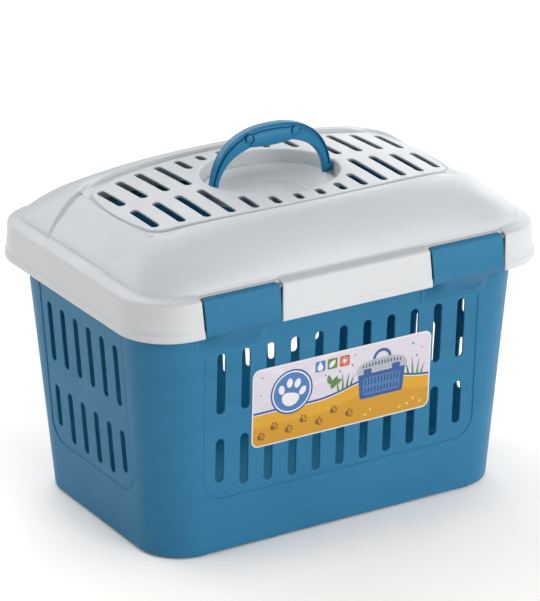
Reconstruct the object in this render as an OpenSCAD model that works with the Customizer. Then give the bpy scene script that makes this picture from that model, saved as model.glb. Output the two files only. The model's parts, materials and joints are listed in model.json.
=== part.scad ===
// Small-animal carrier: a slotted tub, a domed slotted lid, a folding carry
// handle let into a dish in the lid, four spring clips and a front label.
// Millimetres. +Z is up, +X runs along the long front, -Y is the labelled
// front, and the origin is on the floor under the middle of the tub.

/* [Tub] */
// Half length of the tub wall at floor level
tub_hx = 171.9; // [170.5:0.1:172.5]
// Half depth of the tub wall at floor level
tub_hy = 110.6; // [109.5:0.1:111]
// Outward lean of the end walls, mm per mm of height
draft_x = 0.068; // [0.062:0.001:0.069]
// Outward lean of the long walls, mm per mm of height
draft_y = 0.059; // [0.053:0.001:0.060]
// Radius of the upright corners
corner_r = 41; // [36:1:44]
// Wall and floor thickness
wall = 2.4; // [2:0.1:2.8]
// Height of the tub's rim
rim_z = 238.5; // [238:0.1:238.5]
// Lift of the bottom between the corner feet
foot_h = 1.6; // [1.4:0.1:3]

/* [Wall slots] */
// Width of a wall slot
slot_w = 7.2; // [6:0.1:8]
// Spacing of the slots along the long walls
front_pitch = 23.6; // [22:0.1:24]
// Slots in each row of a long wall
front_n = 11; // [9,11]
// Spacing of the slots along the end walls
side_pitch = 23.2; // [22:0.1:24]
// Slots in each row of an end wall
side_n = 6; // [4,6]

/* [Lid] */
// Slots in each row of the lid's panel, to each side of the middle
lid_cols = 7; // [6,7]
// Spacing of the lid's slots
lid_pitch = 21.3; // [20:0.1:21.5]
// Width of a lid slot
lid_slot_w = 7.3; // [6.5:0.1:8.5]
// Lid wall thickness over the panel
lid_t = 2.4; // [2.2:0.1:2.6]
// Offset of the lid's panel, dish and handle to the right of the middle
top_shift = 1.3; // [0:0.1:1.5]
// Offset of the dish to the rear of the handle's hinge line
dish_y = 1; // [0:0.1:1.2]

/* [Handle] */
// Height of the handle's pivot above the floor
pivot_z = 279; // [278.5:0.1:279]
// Radius of the handle's pivot pins
pin_r = 3; // [2.6:0.1:3.2]
// Radial clearance of a pin in its bore
pin_gap = 0.05; // [0.03:0.01:0.10]
// Thickness of the handle from front to back
grip_d = 8.4; // [7.5:0.1:9]

/* [Clips] */
// Distance from the middle to the near edge of a clip
clip_x0 = 73.2; // [72:0.1:76]
// Distance from the middle to the far edge of a clip
clip_x1 = 146.4; // [140:0.1:147]
// Gap between a clip and the sides of its notch in the lid
clip_gap = 1.6; // [1:0.1:2]

/* [Label] */
// Length of the label
label_w = 176.5; // [150:0.5:180]
// Height of the label
label_h = 72; // [60:0.5:72]

/* [Output] */
// Sub-part to draw

/* [Hidden] */
$fn = 48;
BLUE = [0.22, 0.47, 0.63];
GREY = [0.86, 0.87, 0.88];
PAPER = [0.93, 0.92, 0.96];
ax_y = -124.6;          // clip hinge line, front: distance from the middle
ax_z = 195.6;           // clip hinge line: height

// ---------- rings ----------
// One quarter of a rounded rectangle, from (a, 0) round to just short of (0, b).
function quarter(a, b, r, ns, na, nf) = concat(
    [for (i = [0:ns - 1]) [a, (b - r) * i / ns]],
    [for (i = [0:na - 1]) [a - r + r * cos(90 * i / na), b - r + r * sin(90 * i / na)]],
    [for (i = [0:nf - 1]) [(a - r) * (1 - i / nf), b]]);
function whole(q, b) = let (n = len(q),
    h = concat(q, [[0, b]], [for (i = [n - 1:-1:1]) [-q[i][0], q[i][1]]]))
    concat(h, [for (p = h) [-p[0], -p[1]]]);
function ring(a, b, r, ns, na, nf) = whole(quarter(a, b, r, ns, na, nf), b);
function flat_ring(p, z) = [for (v = p) [v[0], v[1], z]];

// Closed solid through a chain of rings, from one middle point to the other.
module shell(first, rings, last, up = true, tri = false) {
    n = len(rings[0]);
    m = len(rings);
    pts = concat([first], [for (k = rings) for (p = k) p], [last]);
    e = m * n + 1;
    fan0 = [for (i = [0:n - 1]) let (a = 1 + i, b = 1 + (i + 1) % n)
            up ? [0, a, b] : [0, b, a]];
    fan1 = [for (i = [0:n - 1]) let (a = (m - 1) * n + 1 + i, b = (m - 1) * n + 1 + (i + 1) % n)
            up ? [e, b, a] : [e, a, b]];
    side = [for (k = [0:m - 2]) for (i = [0:n - 1])
            let (a = k * n + 1 + i, b = k * n + 1 + (i + 1) % n, c = a + n, d = b + n)
            up ? [a, c, d, b] : [a, b, d, c]];
    cut = tri ? [for (f = side) each [[f[0], f[1], f[2]], [f[0], f[2], f[3]]]] : side;
    polyhedron(points = pts, faces = concat(fan0, cut, fan1), convexity = 8);
}

// Round-ended bar standing on end in the XZ plane, cut through along Y.
module slot_y(w, z0, z1, len) {
    rotate([90, 0, 0]) linear_extrude(height = len, center = true) {
        translate([-w / 2, z0 + w / 2]) square([w, z1 - z0 - w]);
        translate([0, z0 + w / 2]) circle(d = w, $fn = 24);
        translate([0, z1 - w / 2]) circle(d = w, $fn = 24);
    }
}
module round_rect(w, h, r) {
    translate([-w / 2 + r, -h / 2]) square([w - 2 * r, h]);
    translate([-w / 2, -h / 2 + r]) square([w, h - 2 * r]);
    for (x = [-1, 1], y = [-1, 1])
        translate([x * (w / 2 - r), y * (h / 2 - r)]) circle(r = r);
}

// ---------- tub ----------
function thx(z) = tub_hx + draft_x * z;
function thy(z) = tub_hy + draft_y * z;
function tub_ring(z, dx, dy, r) = flat_ring(ring(thx(z) + dx, thy(z) + dy, r, 1, 7, 1), z);

module tub_shell() {
    ox = 193.5 - thx(rim_z);
    oy = 133.1 - thy(rim_z);
    shell([0, 0, foot_h],
        [tub_ring(foot_h, -2, -2, corner_r - 2),
         tub_ring(foot_h + 0.3, -0.9, -0.9, corner_r - 0.9),
         tub_ring(foot_h + 0.9, -0.3, -0.3, corner_r - 0.3),
         tub_ring(foot_h + 2, 0, 0, corner_r),
         tub_ring(rim_z - 4.1, 0, 0, corner_r),
         tub_ring(rim_z - 3.6, ox - 2.2, oy - 2.2, corner_r + 4),
         tub_ring(rim_z - 7.4, ox - 1.8, oy - 2.0, corner_r + 4.4),
         tub_ring(rim_z - 7.6, ox, oy, corner_r + 6),
         tub_ring(rim_z - 1, ox, oy, corner_r + 6),
         tub_ring(rim_z, ox - 1, oy - 1, corner_r + 5),
         tub_ring(rim_z, -wall + 1, -wall + 1, corner_r - 1),
         tub_ring(rim_z - 1.2, -wall, -wall, corner_r - wall),
         tub_ring(14, -wall, -wall, corner_r - wall),
         tub_ring(foot_h + wall + 4, -wall - 1, -wall - 1, corner_r - wall - 1),
         tub_ring(foot_h + wall + 1.2, -wall - 3.6, -wall - 3.6, corner_r - wall - 3),
         tub_ring(foot_h + wall, -wall - 7, -wall - 7, corner_r - wall - 6)],
        [0, 0, foot_h + wall], up = true);
}
// Corner feet that carry the tub clear of the floor between them.
module tub_feet() {
    intersection() {
        linear_extrude(height = foot_h + 1) difference() {
            round_rect(2 * (tub_hx - 1.4), 2 * (tub_hy - 1.4), corner_r - 1.4);
            round_rect(2 * (tub_hx - 14), 2 * (tub_hy - 14), corner_r - 14);
        }
        for (x = [-1, 1], y = [-1, 1])
            translate([x * (tub_hx - 25), y * (tub_hy - 25), 3]) cube([72, 72, 8], center = true);
    }
}
// Shallow sunk field round the slots of a wall; dist is the wall at floor level.
module sunk_field(dist, lean, half) {
    a = atan(lean);
    translate([0, -dist, 0]) rotate([a, 0, 0]) translate([0, 0.5, 0]) rotate([90, 0, 0])
        linear_extrude(height = 3) {
            translate([-half, 71]) square([2 * half, rim_z - 82]);
            translate([-half + 20, 51]) square([2 * half - 40, 30]);
            for (x = [-1, 1]) translate([x * (half - 20), 71]) circle(r = 20, $fn = 40);
        }
}
module wall_slots() {
    nf = (front_n - 1) / 2;
    for (i = [-nf:nf]) translate([i * front_pitch, 0, 0]) {
        slot_y(slot_w, 129.7, 184.5, 320);
        slot_y(slot_w, abs(i) >= nf ? 64 : 57.5 + 0.35 * abs(i), 106.6, 320);
    }
    for (j = [0:side_n - 1]) let (y = (j - (side_n - 1) / 2) * side_pitch)
        translate([0, y, 0]) rotate([0, 0, 90]) {
            slot_y(slot_w, 129.7, 184.5, 420);
            slot_y(slot_w, (j == 0 || j == side_n - 1) ? 68 : 59, 106.6, 420);
        }
}
// Seat moulded on the wall under the root of a clip.
module clip_seat() {
    difference() {
        translate([clip_x0, 0, 0]) rotate([90, 0, 90]) linear_extrude(height = clip_x1 - clip_x0)
            polygon([[ax_y + 5.4, ax_z - 8.4], [ax_y + 2.9, ax_z - 8.2], [ax_y + 0.6, ax_z - 4.6],
                     [ax_y - 0.8, ax_z - 2.2], [ax_y - 0.8, ax_z], [ax_y + 5.4, ax_z]]);
        translate([clip_x0 - 1, ax_y, ax_z]) rotate([0, 90, 0])
            cylinder(r = 2, h = clip_x1 - clip_x0 + 2);
        translate([clip_x0 - 1, ax_y - 4, ax_z]) cube([clip_x1 - clip_x0 + 2, 5.0, 3]);
    }
}
module tub() {
    color(BLUE) {
        difference() {
            union() {
                difference() {
                    tub_shell();
                    sunk_field(tub_hy, draft_y, 134.5);
                    mirror([0, 1, 0]) sunk_field(tub_hy, draft_y, 134.5);
                    rotate([0, 0, -90]) sunk_field(tub_hx, draft_x, 73);
                    rotate([0, 0, 90]) sunk_field(tub_hx, draft_x, 73);
                }
                tub_feet();
            }
            wall_slots();
        }
        for (x = [0, 1], y = [0, 1]) mirror([x, 0, 0]) mirror([0, y, 0]) clip_seat();
    }
}

// ---------- lid ----------
function crown(x, y) = 285.9 - 4.0 * pow(x / 150, 2) - 5.73 * pow(x / 150, 4) - 2.43 * pow(y / 80, 2);
function crest(x) = 285.1 - 2.2 * pow(x / 150, 2) - 6.3 * pow(x / 150, 4);
function band(x) = 82 - 5.2e-4 * x * x - 1.25e-8 * pow(x, 4);
function ease(t) = let (u = max(0, min(1, t))) u * u * (3 - 2 * u);
function lobe(x, y) = ease((abs(y) - band(x) + 1.6) / 3.2);
function dome_z(x, y, s) = let (m = lobe(x, y), rise = pow(1 - pow(1 - s, 1.9), 0.74),
    z = 246.6 + (crest(x) - 246.6) * rise)
    z - (1 - m) * (1.2 + 1.6 * sin(180 * (1 - s))) * min(1, s * 5);
function bow(p, a, b, kx, ky) = [for (v = p)
    [v[0] - kx * v[1] * v[1] * v[0] / a, v[1] - ky * v[0] * v[0] * v[1] / b]];
LN = [5, 6, 7];
function lid_ring(a, b, r, kx = 0, ky = 0) = bow(ring(a, b, r, LN[0], LN[1], LN[2]), a, b, kx, ky);
function oval(a, b) = [for (v = ring(151, 73.8, 11, LN[0], LN[1], LN[2]))
    let (t = atan2(v[1] / 73.8, v[0] / 151)) [a * cos(t), b * sin(t) + dish_y]];
function on_crown(p, dz) = [for (v = p) [v[0], v[1], crown(v[0], v[1]) + dz]];
function mix(p, q, t) = [for (i = [0:len(p) - 1]) p[i] * (1 - t) + q[i] * t];
function panel_ring(g) = lid_ring(152.2 + g, 76 + g, 11 + g, 0.0015, 8e-4);
function over(k) = [for (p = k) [for (v = p) [v[0] + top_shift * ease((v[2] - 246.6) / 32), v[1], v[2]]]];
function dome_ring(s, inset, dz) = let (a = 187.5 - 33 * s - inset, b = 129.5 - 46.7 * s - inset,
    p = lid_ring(a, b, 40 - 26 * s, 0.0015 * s, 8e-4 * s))
    [for (v = p) [v[0], v[1], dome_z(v[0], v[1], s) + dz]];

module lid_shell() {
    steps = [0.96, 0.88, 0.76, 0.62, 0.47, 0.33, 0.2, 0.1, 0.035];
    inner = [0.9, 0.76, 0.62, 0.47, 0.33, 0.2, 0.1];
    top = concat(
        [flat_ring(oval(30, 25), 262.4), flat_ring(oval(43, 37), 264.2),
         flat_ring(oval(51, 45), 267.4), flat_ring(oval(54.8, 48.8), 270.2),
         flat_ring(oval(56.6, 50.4), 272), flat_ring(oval(59.6, 53.1), 272.3),
         flat_ring(oval(60.9, 54.3), 273), flat_ring(oval(61.2, 54.6), 282),
         on_crown(oval(61.9, 55.3), -1), on_crown(oval(63.4, 56.8), 0),
         on_crown(mix(oval(63.4, 56.8), panel_ring(0), 0.5), 0),
         on_crown(panel_ring(0), 0), on_crown(panel_ring(0.5), -0.7), on_crown(panel_ring(0.8), -1.8),
         on_crown(panel_ring(1.6), -1.9)],
        [let (p = lid_ring(154.1, 81.9, 13.5, 0.0015, 8e-4)) on_crown(p, -1.1)],
        [dome_ring(1, 0, 0)],
        [for (s = steps) dome_ring(s, 0, 0)],
        [flat_ring(lid_ring(187.5, 129.5, 40), 246.6), flat_ring(lid_ring(191, 133.5, 43), 244.4),
         flat_ring(lid_ring(195.2, 137.8, 45), 243.4), flat_ring(lid_ring(197.2, 139.8, 46), 242.4),
         flat_ring(lid_ring(197.7, 140.3, 46), 241.2),
         flat_ring(lid_ring(199.2, 141.8, 47), 218.2), flat_ring(lid_ring(200, 142.6, 47), 217),
         flat_ring(lid_ring(200, 142.6, 47), 211.2), flat_ring(lid_ring(199.4, 142, 47), 210.6)]);
    under = concat(
        [flat_ring(lid_ring(198, 140.6, 46), 210.6), flat_ring(lid_ring(197.4, 140, 46), 217),
         flat_ring(lid_ring(195.2, 137.8, 45), 239.5), flat_ring(lid_ring(193.4, 136, 44), 241),
         flat_ring(lid_ring(189, 131.6, 42), 241.9), flat_ring(lid_ring(185.2, 127.2, 39), 244)],
        [for (i = [len(inner) - 1:-1:0]) let (s = inner[i]) dome_ring(s, 0.3 + 1.9 * (1 - s), -1.1 - 1.3 * s)],
        [dome_ring(1, 0, -lid_t)],
        [let (p = lid_ring(154, 79.8, 13, 0.0015, 8e-4)) on_crown(p, -1.7 - lid_t)],
        [on_crown(panel_ring(-0.6), -1.5 - lid_t), on_crown(panel_ring(-3), -lid_t),
         on_crown(mix(oval(63.4, 56.8), panel_ring(-3), 0.5), -lid_t),
         on_crown(oval(64.9, 58.3), -lid_t - 0.2),
         flat_ring(oval(63.5, 56.9), 280), flat_ring(oval(63.3, 56.7), 272.4),
         flat_ring(oval(59.4, 52.8), 270.1), flat_ring(oval(56.8, 50.4), 267.6),
         flat_ring(oval(51, 45), 264), flat_ring(oval(42, 36), 261.6), flat_ring(oval(29, 24), 260)]);
    shell([top_shift, dish_y, 262], over(concat(top, under)), [top_shift, dish_y, 259.6], up = false, tri = true);
}
// Round-ended slot along Y through the panel.
module lid_slot(x, y0, y1) {
    w = lid_slot_w;
    translate([x, 0, 250]) linear_extrude(height = 50) {
        translate([-w / 2, y0 + w / 2]) square([w, y1 - y0 - w]);
        translate([0, y0 + w / 2]) circle(d = w, $fn = 24);
        translate([0, y1 - w / 2]) circle(d = w, $fn = 24);
    }
}
module lid_slots() {
    near = [56.9, 52.5, 39.2, 7.2, 7.2, 7.2, 7.2];
    far = [59.5, 55.7, 42.4, 7.2, 7.2, 7.2, 7.2];
    for (i = [0:lid_cols - 1], sx = [-1, 1], sy = [0, 1])
        let (x = (i + 0.5) * lid_pitch, u = x / 150, y1 = 71.1 - 19.2 * pow(u, 2) - 6.5 * pow(u, 4))
            mirror([0, 1 - sy, 0]) lid_slot(sx * x + top_shift, sy == 1 ? far[i] : near[i], y1);
}
// Opening in the rim for a clip, and the ledge the clip hooks over.
module clip_notch() {
    x0 = clip_x0 - clip_gap;
    x1 = clip_x1 + clip_gap;
    translate([x0, -160, 200]) cube([x1 - x0, 22.8, 60]);
    translate([x0, -160, 200]) cube([x1 - x0, 29.4, 38.8]);
    translate([x0, 0, 0]) rotate([90, 0, 90]) linear_extrude(height = x1 - x0)
        polygon([[-160, 236], [-137.2, 240.6], [-130.6, 241.6], [-130.6, 260], [-160, 260]]);
}
module clip_ledge() {
    translate([clip_x0 - clip_gap - 1.4, 0, 0]) rotate([90, 0, 90])
        linear_extrude(height = clip_x1 - clip_x0 + 2 * clip_gap + 2.8)
            polygon([[-127, 238.8], [-137.2, 238.8], [-137.2, 240.6], [-130.6, 241.6],
                     [-130.6, 245.2], [-127.6, 245.2]]);
}
module lid() {
    color(GREY) difference() {
        union() {
            difference() {
                lid_shell();
                for (x = [0, 1], y = [0, 1]) mirror([x, 0, 0]) mirror([0, y, 0]) clip_notch();
                lid_slots();
            }
            for (x = [0, 1], y = [0, 1]) mirror([x, 0, 0]) mirror([0, y, 0]) clip_ledge();
            translate([top_shift, 0, pivot_z]) for (s = [0, 1]) mirror([s, 0, 0])
                translate([61.7, 0, 0]) rotate([0, 90, 0]) cylinder(r = 5.2, h = 5.4);
        }
        translate([top_shift, 0, pivot_z]) for (s = [0, 1]) mirror([s, 0, 0])
            translate([57, 0, 0]) rotate([0, 90, 0]) cylinder(r = pin_r + pin_gap, h = 8.9);
    }
}

// ---------- handle ----------
// Arch outline: outer and inner edge, from the right leg over to the left.
function swell(t, w, h, n) = let (c = cos(t), s = sin(t),
    k = pow(pow(abs(c), n) + pow(abs(s), n), -1 / n)) [w * c * k, h * s * k];
function start(z, n) = atan2(z, pow(1 - pow(z, n), 1 / n));
function sweep(f, a) = a + (180 - 2 * a) * f;
function arch_out(f) = [0, 264.6] + swell(sweep(f, start(12.4 / 63.7, 2.47)), 60.3, 63.7, 2.47);
function arch_in(f) = [0, 275.3] + swell(sweep(f, start(1.7 / 37.2, 2.27)), 52.2, 37.2, 2.27);
module arch() {
    n = 48;
    st = concat([[[59.6, 273.8], [53.2, 273.8]], [[60, 274.8], [52.4, 274.8]]],
        [for (i = [0:n]) [arch_out(i / n), arch_in(i / n)]],
        [[[-60, 274.8], [-52.4, 274.8]], [[-59.6, 273.8], [-53.2, 273.8]]]);
    h = grip_d / 2;
    // section corners: fraction of the way in from the outer edge, inset in mm, depth
    sec = [[0, 0, -0.45], [0, 1.0, -0.82], [0, 2.6, -1], [1, -1.6, -1], [1, -0.5, -0.86], [1, 0, -0.5],
           [1, 0, 0.5], [1, -0.5, 0.86], [1, -1.6, 1], [0, 2.6, 1], [0, 1.0, 0.82], [0, 0, 0.45]];
    m = len(sec);
    pts = [for (q = st) let (o = q[0], i = q[1], d = (i - o) / norm(i - o))
        for (c = sec) let (p = (c[0] == 0 ? o : i) + d * c[1]) [p[0], c[2] * h, p[1]]];
    k = len(st);
    polyhedron(points = pts, faces = concat(
        [[for (j = [m - 1:-1:0]) j]],
        [for (a = [0:k - 2]) for (j = [0:m - 1]) let (b = (j + 1) % m)
            each [[a * m + j, a * m + b, (a + 1) * m + b], [a * m + j, (a + 1) * m + b, (a + 1) * m + j]]],
        [[for (j = [0:m - 1]) (k - 1) * m + j]]), convexity = 6);
}
// Grip pad outline: bulges a little below the arch's inner edge.
function pad_edge(x) = [x, 309.4 + 1.5 * pow(x / 21, 2)];
function pad_top(x) = [x, 322.9 - 0.9 * pow(x / 21, 2)];
module carry_handle() {
    color(BLUE) translate([top_shift, 0, 0]) {
        arch();
        for (s = [0, 1]) mirror([s, 0, 0]) {
            // hub on the outside of the leg, and its stub pin
            translate([53, 0, pivot_z]) rotate([0, 90, 0]) cylinder(r = 5.8, h = 7.2);
            translate([57, 0, pivot_z]) rotate([0, 90, 0]) cylinder(r = pin_r, h = 8.2);
        }
        // raised grip pad, front and back, and its two round end bosses
        rotate([90, 0, 0]) linear_extrude(height = grip_d + 1.6, center = true)
            polygon(concat([for (x = [-21:3:21]) pad_edge(x)], [for (x = [21:-3:-21]) pad_top(x)]));
        for (s = [0, 1], x = [-22.7, 22.7]) mirror([0, s, 0])
            translate([x, -grip_d / 2 + 1, 319.1]) rotate([90, 0, 0]) cylinder(r = 4.3, h = 2.2);
    }
}

// ---------- clips ----------
module clip(x0) {
    h = clip_x1 - clip_x0;
    color(BLUE) difference() {
        union() {
            translate([x0, 0, 0]) rotate([90, 0, 90]) linear_extrude(height = h)
                polygon([[ax_y - 1.7, ax_z], [ax_y - 2.6, ax_z + 1.2], [-131.6, 201], [-137.2, 205.8], [-140.6, 209.6],
                         [-142.2, 213.4], [-142.5, 217], [-140.6, 240.2], [-140.1, 241.9], [-139, 243],
                         [-137.4, 243.5], [-131.4, 244.4], [-131.0, 244.0], [-131.2, 242.1], [-136.6, 241.25],
                         [-138.0, 240.2], [-138.3, 238.4], [-140.1, 217], [-139.8, 214.2],
                         [-138.6, 211.4], [-135.6, 208], [-130, 203.2], [-124.4, 198.2], [ax_y + 1.6, ax_z + 0.6]]);
            translate([x0, ax_y, ax_z]) rotate([0, 90, 0]) cylinder(r = 1.7, h = h);
        }
        // rounded upper corners of the tongue
        for (s = [0, 1]) translate([x0 + s * h, 0, 0]) mirror([s, 0, 0]) difference() {
            translate([-1, -150, 240]) cube([6, 30, 10]);
            translate([5, -160, 239.5]) rotate([-90, 0, 0]) cylinder(r = 5, h = 50);
        }
        // thumb scoop
        translate([x0 + h / 2, -138.6, 207.6]) rotate([43, 0, 0]) translate([0, -58.2, 0])
            rotate([0, 90, 0]) rotate_extrude($fn = 96) intersection() {
                translate([57 - 380, 0]) circle(r = 380, $fn = 360);
                translate([40, -28]) square([30, 56]);
            }
    }
}
module front_clip_left() { clip(-clip_x1); }
module front_clip_right() { clip(clip_x0); }
module rear_clip_left() { mirror([0, 1, 0]) clip(-clip_x1); }
module rear_clip_right() { mirror([0, 1, 0]) clip(clip_x0); }

// ---------- label ----------
module front_label() {
    color(PAPER) translate([0, -tub_hy, 0]) rotate([atan(draft_y), 0, 0]) translate([0, 0.42, 126.5])
        rotate([90, 0, 0]) linear_extrude(height = 0.6) round_rect(label_w, label_h, 7);
}

tub();
lid();
carry_handle();
front_clip_left();
front_clip_right();
rear_clip_left();
rear_clip_right();
front_label();
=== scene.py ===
import json
import math
import bpy
import bmesh
import numpy as np
from mathutils import Vector, Matrix
from mathutils.geometry import delaunay_2d_cdt

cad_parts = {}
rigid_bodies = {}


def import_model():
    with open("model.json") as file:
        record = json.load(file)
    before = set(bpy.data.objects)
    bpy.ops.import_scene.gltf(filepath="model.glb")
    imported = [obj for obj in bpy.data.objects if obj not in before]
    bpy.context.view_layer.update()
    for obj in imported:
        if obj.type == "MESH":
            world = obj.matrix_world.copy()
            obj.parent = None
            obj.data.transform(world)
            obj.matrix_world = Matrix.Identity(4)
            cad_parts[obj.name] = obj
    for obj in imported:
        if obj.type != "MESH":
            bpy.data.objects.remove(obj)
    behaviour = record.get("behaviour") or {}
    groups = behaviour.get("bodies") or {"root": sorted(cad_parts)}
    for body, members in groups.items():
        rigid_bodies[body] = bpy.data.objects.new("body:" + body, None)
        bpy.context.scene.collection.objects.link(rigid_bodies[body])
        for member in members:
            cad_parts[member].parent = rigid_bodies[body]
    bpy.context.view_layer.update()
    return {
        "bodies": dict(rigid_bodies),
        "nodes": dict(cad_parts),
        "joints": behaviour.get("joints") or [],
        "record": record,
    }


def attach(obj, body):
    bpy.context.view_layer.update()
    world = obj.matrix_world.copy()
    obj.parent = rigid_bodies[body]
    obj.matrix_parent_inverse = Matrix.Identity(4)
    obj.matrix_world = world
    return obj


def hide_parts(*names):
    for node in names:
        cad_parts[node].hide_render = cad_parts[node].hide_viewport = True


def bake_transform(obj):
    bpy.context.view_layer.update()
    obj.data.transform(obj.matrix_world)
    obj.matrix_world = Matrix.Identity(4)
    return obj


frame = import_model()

MM = 0.001
PI = math.pi


# ------------------------------------------------------------------ helpers
def ease(t):
    t = np.clip(t, 0.0, 1.0)
    return t * t * (3 - 2 * t)


class Net:
    """A mesh gathered patch by patch in millimetres; patches meet where their points coincide."""

    def __init__(self):
        self.chunks, self.faces, self.n = [], [], 0

    def put(self, p):
        p = np.asarray(p, float).reshape(-1, 3)
        ids = np.arange(self.n, self.n + len(p))
        self.chunks.append(p)
        self.n += len(p)
        return ids

    def strip(self, a, b, closed=True):
        n = len(a)
        for i in range(n if closed else n - 1):
            j = (i + 1) % n
            self.faces.append((int(a[i]), int(a[j]), int(b[j]), int(b[i])))

    def rings(self, rings, closed=True):
        ids = [self.put(r) for r in rings]
        for a, b in zip(ids[:-1], ids[1:]):
            self.strip(a, b, closed)
        return ids

    def tris(self, ids, t):
        for f in t:
            self.faces.append(tuple(int(ids[k]) for k in f))

    def points(self):
        return np.vstack(self.chunks)

    def cap(self, loop):
        """Fills a planar closed loop given as points."""
        loop = np.asarray(loop, float)
        ids = self.put(loop)
        d = np.ptp(loop, axis=0)
        ax = [k for k in range(3) if k != int(np.argmin(d))]
        pts, t = cdt([loop[:, ax]])
        self.tris(ids, t)

    def build(self, name, weld=0.004, sharp=32.0, cuts=(), adds=(), keep_small=True):
        me = bpy.data.meshes.new(name)
        me.from_pydata((self.points() * MM).tolist(), [], self.faces)
        bm = bmesh.new()
        bm.from_mesh(me)
        bmesh.ops.remove_doubles(bm, verts=bm.verts, dist=weld * MM)
        bmesh.ops.dissolve_degenerate(bm, edges=bm.edges, dist=0.0008 * MM)
        loose = [v for v in bm.verts if not v.link_faces]
        bmesh.ops.delete(bm, geom=loose, context="VERTS")
        bmesh.ops.recalc_face_normals(bm, faces=bm.faces)
        bm.to_mesh(me)
        bm.free()
        ob = bpy.data.objects.new(name, me)
        bpy.context.scene.collection.objects.link(ob)
        for mode, group in (("UNION", adds), ("DIFFERENCE", cuts)):
            for tool in group:
                join(ob, tool, mode)
        ob.data.materials.clear()
        finish_mesh(ob, sharp)
        return ob


def join(ob, tool, mode):
    """One solid with another added or taken away, applied at once."""
    m = ob.modifiers.new("b", "BOOLEAN")
    m.operation = mode
    m.object = tool
    try:
        m.solver = "MANIFOLD"
    except TypeError:
        m.solver = "EXACT"
    dg = bpy.context.evaluated_depsgraph_get()
    made = bpy.data.meshes.new_from_object(ob.evaluated_get(dg))
    if len(made.polygons) == 0:
        m.solver = "EXACT"
        dg = bpy.context.evaluated_depsgraph_get()
        made = bpy.data.meshes.new_from_object(ob.evaluated_get(dg))
    old = ob.data
    ob.modifiers.clear()
    ob.data = made
    bpy.data.meshes.remove(old)
    gone = tool.data
    bpy.data.objects.remove(tool)
    bpy.data.meshes.remove(gone)


def finish_mesh(ob, sharp=32.0):
    bm = bmesh.new()
    bm.from_mesh(ob.data)
    lim = math.radians(sharp)
    for f in bm.faces:
        f.smooth = True
        f.material_index = 0
    for e in bm.edges:
        e.smooth = not (len(e.link_faces) == 2 and e.calc_face_angle(0.0) > lim)
    bm.to_mesh(ob.data)
    bm.free()


def inside(poly, p):
    """Which of the points p lie in the polygon."""
    poly = np.asarray(poly)
    x, y = p[:, 0], p[:, 1]
    hit = np.zeros(len(p), bool)
    x0, y0 = poly[:, 0], poly[:, 1]
    x1, y1 = np.roll(x0, -1), np.roll(y0, -1)
    for a, b, c, d in zip(x0, y0, x1, y1):
        if b == d:
            continue
        m = (b > y) != (d > y)
        xc = (c - a) * (y - b) / (d - b) + a
        hit ^= m & (x < xc)
    return hit


def cdt(loops, holes=(), extra=None):
    """Triangles over the region inside loops[0] and outside holes; every loop stays an edge chain. The points come back in the order given."""
    allp = [np.asarray(q, float)[:, :2] for q in list(loops) + list(holes)]
    edges, k = [], 0
    for q in allp:
        n = len(q)
        edges += [(k + i, k + (i + 1) % n) for i in range(n)]
        k += n
    pts = np.vstack(allp + ([np.asarray(extra, float)] if extra is not None and len(extra) else []))
    out = delaunay_2d_cdt([Vector((float(x), float(y))) for x, y in pts], edges, [], 0, 1e-7, True)
    own = [o[0] if len(o) else -1 for o in out[3]]
    tri = []
    for f in out[2]:
        t = [own[v] for v in f]
        if len(t) == 3 and min(t) >= 0 and len(set(t)) == 3:
            tri.append(t)
    tri = np.array(tri)
    fixed = {(min(a, b), max(a, b)) for a, b in edges}
    share = {}
    for i, (a, b, c) in enumerate(tri):
        for e in ((a, b), (b, c), (c, a)):
            e = (int(min(e)), int(max(e)))
            if e not in fixed:
                share.setdefault(e, []).append(i)
    root = list(range(len(tri)))

    def find(i):
        while root[i] != i:
            root[i] = root[root[i]]
            i = root[i]
        return i

    for v in share.values():
        if len(v) == 2:
            root[find(v[0])] = find(v[1])
    group = np.array([find(i) for i in range(len(tri))])
    a, b, c = pts[tri[:, 0]], pts[tri[:, 1]], pts[tri[:, 2]]
    size = 0.5 * np.abs((b - a)[:, 0] * (c - a)[:, 1] - (b - a)[:, 1] * (c - a)[:, 0])
    cen = (a + b + c) / 3
    keep = np.zeros(len(tri), bool)
    for k in np.unique(group):
        mine = np.nonzero(group == k)[0]
        big = mine[np.argmax(size[mine])]
        if size[mine].sum() < 1e-5:
            continue
        p = cen[big:big + 1]
        if inside(allp[0], p)[0] and not any(inside(q, p)[0] for q in allp[len(loops):]):
            keep[mine] = True
    return pts, tri[keep]


def stadium(cx, z0, z1, w, off, na=10):
    """Round-ended upright slot outline, grown by off."""
    r, q = w / 2 + off, w / 2
    t = np.linspace(0, PI, na + 1)
    top = [(cx + r * math.cos(a), z1 - q + r * math.sin(a)) for a in t]
    bot = [(cx - r * math.cos(a), z0 + q - r * math.sin(a)) for a in t]
    zs = np.linspace(z1 - q, z0 + q, 5)[1:-1]
    return np.array(top + [(cx - r, z) for z in zs] + bot + [(cx + r, z) for z in zs[::-1]])


def fillet(q, n=4):
    """(outward offset, depth) round a convex edge of radius q, from the face into the hole."""
    return [(q * (1 - math.sin(a)), q * (1 - math.cos(a))) for a in np.linspace(0, PI / 2, n + 1)]


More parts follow.
